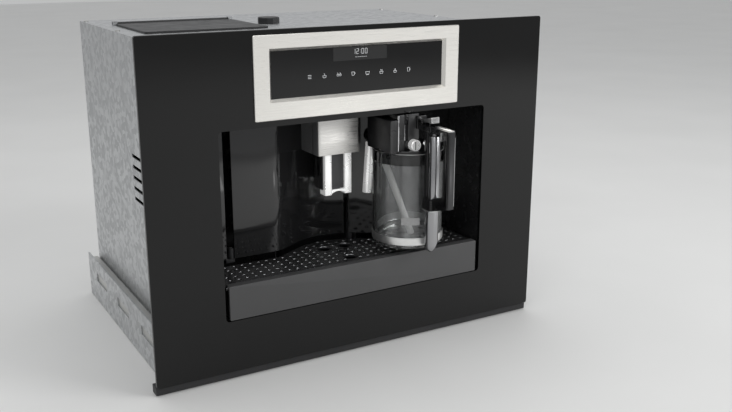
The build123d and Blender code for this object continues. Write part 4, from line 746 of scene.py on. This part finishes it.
def build_collar():
    inner, outer = BAND_OUT - 5.4, BAND_OUT
    low, high = JUG_HIGH + 0.1, COLLAR_TOP
    collar = ring("collar_ring", [
        (inner, low), (outer - 0.4, low), (outer, low + 0.5), (outer, high - 1.2), (outer - 0.8, high - 0.2),
        (inner, high),
    ])
    piece("collar_ring", collar, "smoked", "milk_carafe", ["jug_collar"])
    rim = ring("collar_rim", [
        (outer - 1.8, high - 0.1), (outer - 0.8, high - 0.1), (outer - 0.5, high + 0.2),
        (outer - 0.8, high + 0.5), (outer - 1.8, high + 0.5),
    ])
    piece("collar_rim", rim, "ring_steel", "milk_carafe")


def build_intake_hose():
    bends = [(INTAKE_X, JUG_HIGH + 14.6), (INTAKE_X, JUG_HIGH + 2), (INTAKE_X + 1, JUG_HIGH - 8),
             (INTAKE_X + 6, JUG_HIGH - 20), (JUG_X + 4, JUG_LOW + 12), (JUG_X + 7, JUG_LOW + 5.4)]
    hose = tube("intake_hose", [(x, JUG_Y, z) for x, z in bends], HOSE_RADIUS)
    piece("intake_hose", hose, "hose", "milk_carafe", ["milk_tube"])


def build_level_bar():
    """The level mark printed on the glass, beside the intake hose."""
    start, end = (math.radians(angle) for angle in BAR_ANGLES)
    outside, inside = (arc(*JUG, JUG_RADIUS + lift, start, end, 12) for lift in (0.35, 0.05))
    bar = prism("level_bar", outside + inside[::-1], *BAR_LEVEL, "Z", 0)
    piece("level_bar", bar, "mark_print", "milk_carafe")


def build_head_shell():
    """The frother head: lid, tower with a slot, nozzle block, handle's root and spigot."""
    brim, low = JUG_RADIUS - 2, COLLAR_TOP + 0.6
    lid = [(0, low), (brim - 0.2, low), (brim, low + 0.5), (brim, LID_TOP - 0.8), (brim - 0.8, LID_TOP),
           (0, LID_TOP)]
    tower = rounded_box((HEAD_LEFT, HEAD_RIGHT), (HEAD_FRONT + 3, HEAD_BACK), [1, 1, 3, 3])
    nozzle_x, nozzle_z = (HEAD_RIGHT - 1, JUG_X + 11), (LID_TOP - 0.5, ARM_LOW + 2)
    root_x, root_z = (JUG_X - 7.5, JUG_X + 7.5), (ARM_LOW, HEAD_TOP - 3)
    spigot = rectangle((0, SPIGOT_RADIUS), (HEAD_LOW + 0.2, LID_TOP - 2))
    parts = [
        turned("lid", lid, JUG, steps=96),
        prism("tower", tower, LID_TOP - 0.5, HEAD_TOP, "Z", 0.8),
        block("over_slot", SLOT_X, FACE_Y, (SLOT_Z[1], HEAD_TOP), 0.5),
        block("under_slot", SLOT_X, FACE_Y, (LID_TOP, SLOT_Z[0]), 0.5),
        block("nozzle_block", nozzle_x, (JUG_Y, HEAD_BACK), nozzle_z, 1.2),
        block("arm_root", root_x, (ARM_END, ARM_END + 12), root_z, 0.8),
        turned("spigot", spigot, (INTAKE_X, JUG_Y), steps=32),
    ]
    piece("head_shell", parts, "gloss_black", "milk_carafe", ["frother_head"])


def build_head_faces():
    """The channel at the left, the satin faces around the slot, and painted shade: a matte black sheet behind
    the slot.
    """
    channel_y, channel_z = (HEAD_FRONT + 1, HEAD_BACK), (LID_TOP - 3, CHANNEL_TOP)
    channel = block("channel", (CHANNEL_LEFT, HEAD_LEFT + 1), channel_y, channel_z, 1.2)
    piece("head_channel", channel, "black_plastic", "milk_carafe")
    cover_x, cover_z = (CHANNEL_LEFT + 0.2, HEAD_LEFT - 0.4), (LID_TOP - 2.8, CHANNEL_TOP - 0.2)
    cap_x, cap_y = (CHANNEL_LEFT + 2, INTAKE_X), (JUG_Y + 1, JUG_Y + 15)
    faces = [
        block("strip", (HEAD_LEFT, SLOT_X[0]), FACE_Y, (LID_TOP - 2, HEAD_TOP), 1.6, 4),
        block("face", (SLOT_X[1], HEAD_RIGHT), FACE_Y, (LID_TOP + 13, HEAD_TOP), 0.8),
        block("channel_face", cover_x, (HEAD_FRONT, HEAD_FRONT + 1.5), cover_z, 0.4),
        block("intake_cap", cap_x, cap_y, (LID_TOP - 0.5, LID_TOP + 12), 1),
    ]
    piece("head_faces", faces, "head_grey", "milk_carafe")
    # Painted shade: a matte black sheet just behind the shallow slot, dark where a deeper slot would lie in
    # shade.
    shade = block("slot_painted_shade", SLOT_X, (HEAD_FRONT + 2.6, HEAD_FRONT + 3.2), SLOT_Z, 0.1)
    piece("slot_painted_shade", shade, "black_plastic", "milk_carafe")


def build_head_trim():
    """Thin chrome edges, the boss beside the knob and the two fittings behind."""
    rail_x, rail_y = (HEAD_LEFT - 0.2, HEAD_LEFT + 1.6), (HEAD_FRONT - 0.6, HEAD_FRONT + 3)
    edge_x, edge_y = (SLOT_X[0] - 0.7, SLOT_X[0]), (HEAD_FRONT - 0.3, HEAD_FRONT + 2)
    boss = [(0, -1), (2.8, -1), (3.6, 0), (3.6, 3), (0, 3)]
    low = FITTING_LOW
    fitting = [(0, low), (4.4, low), (4.4, low + 4), (3.2, low + 5), (3.2, low + 9), (0, low + 10)]
    trim = [
        block("head_rail", rail_x, rail_y, (LID_TOP - 1, HEAD_TOP - 1), 0.6),
        block("slot_edge", edge_x, edge_y, SLOT_Z, 0.2),
        turned("boss", boss, (JUG_X + 7, LID_TOP + 7), "Y", 40),
    ]
    trim += [turned("fitting", fitting, (x, FITTING_Y), steps=32) for x in FITTINGS_X]
    piece("head_rail", trim, "chrome", "milk_carafe")


def build_knob():
    x, z = middle("froth_knob", "X"), middle("froth_knob", "Z")
    front, end = span("froth_knob", "Y")
    back = front + KNOB_DEPTH
    bar = rounded_box((x - 2, x - 0.6), (z - 6, z + 6), 0.6, 5)
    piece("knob_bar", prism("bar", bar, front - 0.3, front + 1.3, "Y", 0.3), "black_plastic", "froth_knob")
    cap = [(0, front), (KNOB_RADIUS - 0.8, front), (KNOB_RADIUS, front + 0.8), (KNOB_RADIUS, back - 0.7),
           (KNOB_RADIUS - 0.6, back), (0, back)]
    shaft = rectangle((0, KNOB_SHAFT), (back - 1, end))
    parts = [turned("knob", cap, (x, z), "Y", 64), turned("shaft", shaft, (x, z), "Y", 32)]
    piece("knob_cap", parts, "satin_steel", "froth_knob", ["froth_knob"])


def build_milk_pipe():
    """The leaning tube that the milk runs out of."""
    foot = Vector((PIVOT_X - 0.6 - PIPE_LEAN, PIPE_Y, span("milk_spout", "Z")[0] + 0.4))
    head = Vector((PIVOT_X - 0.6, PIPE_Y, LID_TOP - 1))
    length = (head - foot).length
    profile = [(4.2, 0), (6.3, 0), (6.5, 0.4), (6.5, length - 0.8), (6.1, length), (4.2, length)]
    pipe = turned("milk_pipe", profile, (0, 0), steps=48)
    lean = (head - foot).to_track_quat("Z", "Y").to_matrix().to_4x4()
    pipe.transform(Matrix.Translation(at(*foot)) @ lean @ Matrix.Translation(-at(0, 0, 0)))
    piece("milk_pipe", pipe, "satin_steel", "milk_spout", ["milk_spout"])


def build_milk_pivot():
    """The tube's cap and neck, and the round pivot that it swings on."""
    cap = [(0, LID_TOP + 0.6), (5.6, LID_TOP + 0.6), (6.2, LID_TOP + 1.4), (6.2, PIVOT_Z), (0, PIVOT_Z)]
    neck = rectangle((0, 4.8), (LID_TOP - 2.4, LID_TOP + 2))
    front, back = HEAD_BACK + 0.4, PIVOT_BACK
    outer, rim = PIVOT_RADIUS, PIVOT_RADIUS - 0.6
    pivot = [(PIVOT_BORE, front), (rim, front), (outer, front + 0.6), (outer, back - 0.5), (rim, back),
             (PIVOT_BORE, back)]
    parts = [
        turned("cap", cap, (PIVOT_X, PIPE_Y), steps=40),
        turned("neck", neck, (PIVOT_X - 0.2, PIPE_Y), steps=40),
        turned("pivot", pivot, (PIVOT_X, PIVOT_Z), "Y", 56),
    ]
    piece("milk_pivot", parts, "gloss_black", "milk_spout")


# ---------- carafe handle ----------
GRIP_FRONT, GRIP_BACK = span("grip_trim", "Y")
GRIP_LOW, JOINT_LOW, JOINT_TOP = JUG_LOW + 71.5, JUG_LOW + 61.5, JUG_LOW + 77.5
SPINE_FRONT, SPINE_BACK = -34, -19
JOINT_FRONT, JOINT_HALF = -42, 11
GRIP_X, ARM_X = (JUG_X - 6, JUG_X + 2), (JUG_X - 7.4, JUG_X + 7.4)
TRIM_X = (GRIP_X[1], GRIP_X[1] + 4)
RIBS, RIB_PITCH, RIB_HIGH = 5, 3.15, 2.3
LOW_TUBE_Y, END_SLANT = -30, 0.9
LEVER_Y, LEVER_Z, LEVER_TIP = -8, ARM_TOP + 3.5, -34
RIDGES, RIDGE_PITCH, RIDGE_WIDE = 9, 1.5, 0.8


def bridged(outer, inner, low, high):
    """A loop: an outline with one hole, straight along X."""
    shape = bmesh.new()
    loops = [[shape.verts.new(at(level, u, v)) for u, v in outline] for level in (low, high)
             for outline in (outer, inner)]
    for first, second in ((loops[0], loops[2]), (loops[1], loops[3])):
        count = len(first)
        for i in range(count):
            j = (i + 1) % count
            shape.faces.new((first[i], first[j], second[j], second[i]))
    for start in (0, 2):
        edges = [shape.edges.get(pair) for loop in loops[start:start + 2]
                 for pair in zip(loop, loop[1:] + loop[:1])]
        bmesh.ops.triangle_fill(shape, use_beauty=True, use_dissolve=True, edges=edges)
    bmesh.ops.recalc_face_normals(shape, faces=shape.faces)
    round_edges(shape, 0.8, 2, 50)
    return from_bmesh("loop", shape)


def joint_plan(inset, radius):
    """The plan of the joint between the handle's tubes, moved inwards."""
    half = JOINT_HALF - inset
    return rounded_box((JUG_X - half, JUG_X + half), (JOINT_FRONT + inset, SPINE_BACK - inset), radius, 5)


def grip_loop():
    """The grip with the arm above and the slope below it, around the hand's opening."""
    face, root = GRIP_FRONT + 0.5, JOINT_LOW + 0.2
    outer = [(ARM_END, ARM_TOP), (face, ARM_TOP), (face, GRIP_LOW + 0.5), (JOINT_FRONT, root),
             (SPINE_BACK, root), (SPINE_BACK, ARM_LOW), (ARM_END, ARM_LOW)]
    gap = [(GRIP_BACK, ARM_LOW), (GRIP_BACK, GRIP_LOW + 16), (SPINE_FRONT, JOINT_TOP), (SPINE_FRONT, ARM_LOW)]
    outer = rounded_corners(outer, [0.5, 6, 4, 3, 1, 1, 0.5])
    return bridged(outer, rounded_corners(gap, [3, 4, 3, 3]), *GRIP_X)


def build_handle_body():
    spine_x, spine_y = (ARM_X[0] + 0.3, ARM_X[1] - 0.3), (SPINE_FRONT + 7, SPINE_BACK)
    parts = [
        grip_loop(),
        block("arm", ARM_X, (SPINE_FRONT, ARM_END), (ARM_LOW + 0.2, ARM_TOP - 0.2), 1.2),
        block("spine", spine_x, spine_y, (JOINT_TOP, ARM_LOW + 1), 1.2),
        prism("joint", joint_plan(1, 3.4), JOINT_LOW + 0.2, JOINT_TOP - 0.1, "Z", 0.4),
    ]
    for level in range(RIBS):
        low = JOINT_LOW + 0.3 + level * RIB_PITCH
        parts.append(prism("rib", joint_plan(0, 4), low, low + RIB_HIGH, "Z", 0.5))
    ear = rounded_box((LEVER_Y - 4, LEVER_Y + 4), (ARM_TOP - 0.5, LEVER_Z + 2.9), [0, 0, 3, 3])
    for side in (-1, 1):
        parts.append(prism("ear", ear, *sorted((JUG_X + side * 4.9, JUG_X + side * 7.4)), "X", 0.3))
    piece("handle_body", parts, "gloss_black", "milk_carafe", ["jug_handle"])


def build_grip_trim():
    strip = rounded_box(TRIM_X, (GRIP_FRONT, GRIP_BACK), [0.5, 3.4, 3.4, 0.5])
    strip = prism("grip_strip", strip, GRIP_LOW + 4, ARM_LOW, "Z", 0.5)
    piece("grip_strip", strip, "chrome", "milk_carafe", ["grip_trim"])
    shell = rounded_box((GRIP_X[0] - 0.6, TRIM_X[1] - 2), (GRIP_FRONT, GRIP_FRONT + 6), [4, 0.6, 0.4, 0.4])
    shell = prism("grip_shell", shell, GRIP_LOW + 0.2, ARM_TOP - 0.3, "Z", 0.5)
    piece("grip_shell", shell, "grip_chrome", "milk_carafe")
    cap = [(JUG_X - 1, SPINE_FRONT + 1), (ARM_X[1], SPINE_FRONT - 2), (TRIM_X[1], GRIP_BACK - 8),
           (JUG_X - 1, GRIP_BACK - 9)]
    latch_x, latch_y = (JUG_X - 10, JUG_X - 4), (GRIP_BACK + 1, GRIP_BACK + 3)
    plates = [
        prism("cap", rounded_corners(cap, 1.5, 4), ARM_TOP - 0.4, ARM_TOP + 0.3, "Z", 0.2, 2),
        prism("foot", joint_plan(0.4, 4), JOINT_LOW - 0.9, JOINT_LOW + 0.3, "Z", 0.2, 2),
        block("latch", latch_x, latch_y, (ARM_LOW - 6, ARM_TOP - 3), 0.4),
    ]
    piece("handle_plates", plates, "lever_metal", "milk_carafe")


def build_handle_tubes():
    """The chrome tubes above and below the joint; the low one ends in a slant."""
    low, top = JUG_LOW, ARM_LOW - 5
    low_tube = [(0, low - 0.3), (4, low + 0.3), (7, low + 2.4), (8.8, low + 5.4), (9.5, low + 9.3),
                (9.5, JOINT_LOW), (0, JOINT_LOW)]
    high_tube = [(0, JOINT_TOP + 0.2), (7.5, JOINT_TOP + 0.2), (7.5, top - 1.4), (6.6, top - 0.1), (0, top)]
    low_mesh = turned("low", low_tube, (JUG_X, LOW_TUBE_Y), steps=64)
    for corner in low_mesh.vertices:
        if corner.co.z < (JOINT_LOW - 1) * MM:
            corner.co.z += max(0, corner.co.x - (JUG_X - 2) * MM) * END_SLANT
    high_mesh = turned("high", high_tube, (JUG_X, SPINE_FRONT), steps=64)
    piece("handle_chrome", [low_mesh, high_mesh], "dark_chrome", "milk_carafe", ["handle_tubes"])


def build_lever():
    root, tip, z = LEVER_Y - 7, LEVER_TIP, LEVER_Z
    pad = [(LEVER_Y + 3, z + 2.5), (root, z + 4.6), (tip, z + 8.6), (tip, z + 1), (root, z + 0.4),
           (LEVER_Y - 3, z - 1.9), (LEVER_Y + 3, z - 1.9)]
    plate = [(root, z + 4.5), (tip, z + 8.6), (tip, z + 1), (root, z + 2)]
    parts = [
        prism("pad", pad, JUG_X - 4.4, JUG_X + 4.4, "X", 0.5),
        prism("plate", plate, JUG_X - 6.5, JUG_X + 6.5, "X", 0.5),
        turned("pin", rectangle((0, 1.5), ARM_X), (LEVER_Y, z), "X", 24),
    ]
    back = root - 2
    ridge = [(back, z + 4.9), (tip + 0.6, z + 9), (tip - 0.4, z + 8.4), (tip - 0.4, z + 1.4), (back, z + 2)]
    for number in range(RIDGES):
        x = JUG_X - 6.4 + number * RIDGE_PITCH
        parts.append(prism("ridge", ridge, x, x + RIDGE_WIDE, "X", 0.15, 2))
    piece("lever_plate", parts, "lever_metal", "thumb_lever", ["thumb_lever"])


# ---------- display ----------
DISPLAY_FACE = span("display_glass", "Y")[0]
LCD_HALF, LCD_LOW, LCD_HIGH = 40, 410, 427
ICON_PITCH, ICON_LEVEL, LINE = 21.2, 392.5, 0.55
CLOCK, CLOCK_LEFT, CLOCK_LOW = "1200", -11, LCD_HIGH - 9
DIGIT_PITCH, DIGIT_WIDE, DIGIT_HALF, COLON_GAP = 5.2, 3, 3.2, 2.4
COLON_X, COLON_DOTS, DOT = 0.1, (1.5, 4.3), 0.6
DASHES, DASH_PITCH, DASH_LONG, DASH_LEFT = 6, 3, 1.8, -7.5
DIGITS = {"0": "abcdef", "1": "bc", "2": "abged"}
SEGMENTS = {
    "a": ((0, 2), (1, 2)), "b": ((1, 2), (1, 1)), "c": ((1, 1), (1, 0)), "d": ((0, 0), (1, 0)),
    "e": ((0, 0), (0, 1)), "f": ((0, 1), (0, 2)), "g": ((0, 1), (1, 1)),
}


def ribbon(points):
    """The outline of a printed line."""
    left, right = [], []
    for i, point in enumerate(points):
        run = Vector(points[min(i + 1, len(points) - 1)]) - Vector(points[max(i - 1, 0)])
        side = Vector((-run.y, run.x)).normalized() * LINE / 2
        left.append(tuple(Vector(point) + side))
        right.append(tuple(Vector(point) - side))
    return left + right[::-1]


def printed(name, strokes):
    """Thin print on the display glass."""
    low, high = DISPLAY_FACE - 0.08, DISPLAY_FACE + 0.05
    lines = [prism("line", ribbon(points), low, high, "Y", 0) for points in strokes]
    piece(name, lines, "icon_print", "machine")


def bowl(x, z, half, depth):
    """Strokes of a cup: its body, and its rim across the top."""
    foot = 0.7 * half
    return [[(x - half, z), (x - foot, z - depth), (x + foot, z - depth), (x + half, z)],
            [(x - half, z), (x + half, z)]]


def steam(x, z, height):
    return [[(x + 0.45 * math.sin(2 * math.pi * i / 8), z + height * i / 8) for i in range(9)]]


def drop(x, z, radius):
    """A closed drop: a round foot that runs to a point."""
    point = (x, z + 2.2 * radius)
    return [[point] + arc(x, z, radius, 0, -math.pi, 10) + [point]]


def handle(x, z, radius):
    return [arc(x, z, radius, -math.pi / 2, math.pi / 2, 8)]


ICONS = {
    "menu": [[(-2.4, z), (2.4, z)] for z in (2, 0, -2)],
    "cup_steam": bowl(0, 0.2, 2.6, 2.6) + steam(0, 1, 2),
    "two_cups": bowl(-1.8, 0.6, 1.4, 2.2) + bowl(1.8, 0.6, 1.4, 2.2) + steam(-1.8, 1.2, 1.4)
    + steam(1.8, 1.2, 1.4),
    "mug": bowl(-0.5, 2.2, 2, 4.4) + handle(1.3, 0.4, 1.2),
    "wide_cup": bowl(0, 1.2, 3, 3.2) + [[(-2, -2.7), (2, -2.7)]],
    "cup_two_steams": bowl(0, 0, 2.6, 2.6) + steam(-0.9, 0.8, 2) + steam(0.9, 0.8, 2),
    "cup_drop": bowl(0, -0.4, 2.4, 2.2) + drop(0, 1, 0.7),
    "jug": [[(-1.8, 2.6), (-1.4, -2.6), (1.4, -2.6), (1.8, 2.6), (-1.8, 2.6)]] + handle(1.6, 0.2, 1.1),
}


def clock_strokes():
    """The digits with a colon between hours and minutes, and a row of dashes below them."""
    strokes = []
    for place, digit in enumerate(CLOCK):
        left = CLOCK_LEFT + place * DIGIT_PITCH + (COLON_GAP if place > 1 else 0)
        strokes += [[(left + DIGIT_WIDE * u, CLOCK_LOW + DIGIT_HALF * v) for u, v in SEGMENTS[bar]]
                    for bar in DIGITS[digit]]
    strokes += [[(COLON_X, CLOCK_LOW + level), (COLON_X, CLOCK_LOW + level + DOT)] for level in COLON_DOTS]
    lefts = [DASH_LEFT + DASH_PITCH * i for i in range(DASHES)]
    return strokes + [[(left, LCD_LOW + 4), (left + DASH_LONG, LCD_LOW + 4)] for left in lefts]


def build_display():
    depth = (DISPLAY_FACE - 0.04, DISPLAY_FACE + 0.1)
    lcd = block("lcd_window", (-LCD_HALF, LCD_HALF), depth, (LCD_LOW, LCD_HIGH), 0.02, 1)
    piece("lcd_window", lcd, "lcd", "machine")
    for number, (name, strokes) in enumerate(ICONS.items()):
        x = (number - (len(ICONS) - 1) / 2) * ICON_PITCH
        printed("icon_" + name, [[(x + u, ICON_LEVEL + v) for u, v in points] for points in strokes])
    printed("lcd_digits", clock_strokes())


# ---------- floor, light and camera ----------
# Lights: place and size in metres, power in watts.
STUDIO_LIGHTS = {
    "key": ((-1.6, -1.8, 2.2), (1.6, 1.6), 12),
    "fill": ((1.8, -2.0, 1.6), (1.4, 1.4), 32),
    "top": ((0.0, 0.4, 2.6), (2.0, 2.0), 16),
}
LIGHT_TARGET = (0, 0, 0.2)
CARD_PLACE, CARD_SIZE, CARD_POWER, CARD_TURN = (0.5, -0.88, 0.01), (0.15, 0.56), 0.45, math.radians(27.6)
WORLD_COLOUR, WORLD_STRENGTH = (0.98, 0.99, 1, 1), 0.52
FLOOR_SIZE, FLOOR_DROP = 16, 0.0005
CAMERA_PLACE = (-595.5, -1052.7, 559.5)
CAMERA_HEADING, CAMERA_PITCH = 29.79, -16.03
CAMERA_LENS, CAMERA_SENSOR = 45.49, 36


def build_stage():
    made = Finish("floor_pale", (0.8, 0.8, 0.79), 0.6)
    made.tint(made.noise(3), (0.77, 0.77, 0.76)).bump(made.noise(200), 0.05, 0.05)
    bpy.ops.mesh.primitive_plane_add(size=FLOOR_SIZE, location=(0, 0, -FLOOR_DROP))
    floor = bpy.context.object
    floor.name = "floor"
    floor.data.materials.append(made.material)


def area_light(name, place, size, power):
    """A rectangular light that the camera doesn't see."""
    light = bpy.data.lights.new(name, "AREA")
    light.shape = "RECTANGLE"
    light.size, light.size_y = size
    light.energy = power
    holder = placed(name, light)
    holder.location = place
    holder.visible_camera = False
    return holder


def build_lights():
    world = bpy.data.worlds.new("studio")
    bpy.context.scene.world = world
    world.use_nodes = True
    sky = world.node_tree.nodes["Background"].inputs
    sky["Color"].default_value = WORLD_COLOUR
    sky["Strength"].default_value = WORLD_STRENGTH
    for name, (place, size, power) in STUDIO_LIGHTS.items():
        light = area_light(name, place, size, power)
        light.rotation_mode = "QUATERNION"
        light.rotation_quaternion = (Vector(LIGHT_TARGET) - Vector(place)).to_track_quat("-Z", "Y")
    card = area_light("front_card", CARD_PLACE, CARD_SIZE, CARD_POWER)
    card.rotation_euler = (math.pi, 0, CARD_TURN)


def build_camera():
    lens = bpy.data.cameras.new("camera")
    lens.lens = CAMERA_LENS
    lens.sensor_width = CAMERA_SENSOR
    holder = placed("camera", lens)
    holder.location = at(*CAMERA_PLACE)
    holder.rotation_euler = (math.radians(90 + CAMERA_PITCH), 0, math.radians(-CAMERA_HEADING))
    bpy.context.scene.camera = holder
    bpy.context.scene.view_settings.view_transform = "Standard"


dress_carried()
build_door()
build_fixed_walls()
build_grille()
build_tray_front()
build_spout_cover()
build_spout_legs()
build_spout_body()
build_jug()
build_collar()
build_intake_hose()
build_level_bar()
build_head_shell()
build_head_faces()
build_head_trim()
build_knob()
build_milk_pipe()
build_milk_pivot()
build_handle_body()
build_grip_trim()
build_handle_tubes()
build_lever()
build_display()
build_stage()
build_lights()
build_camera()
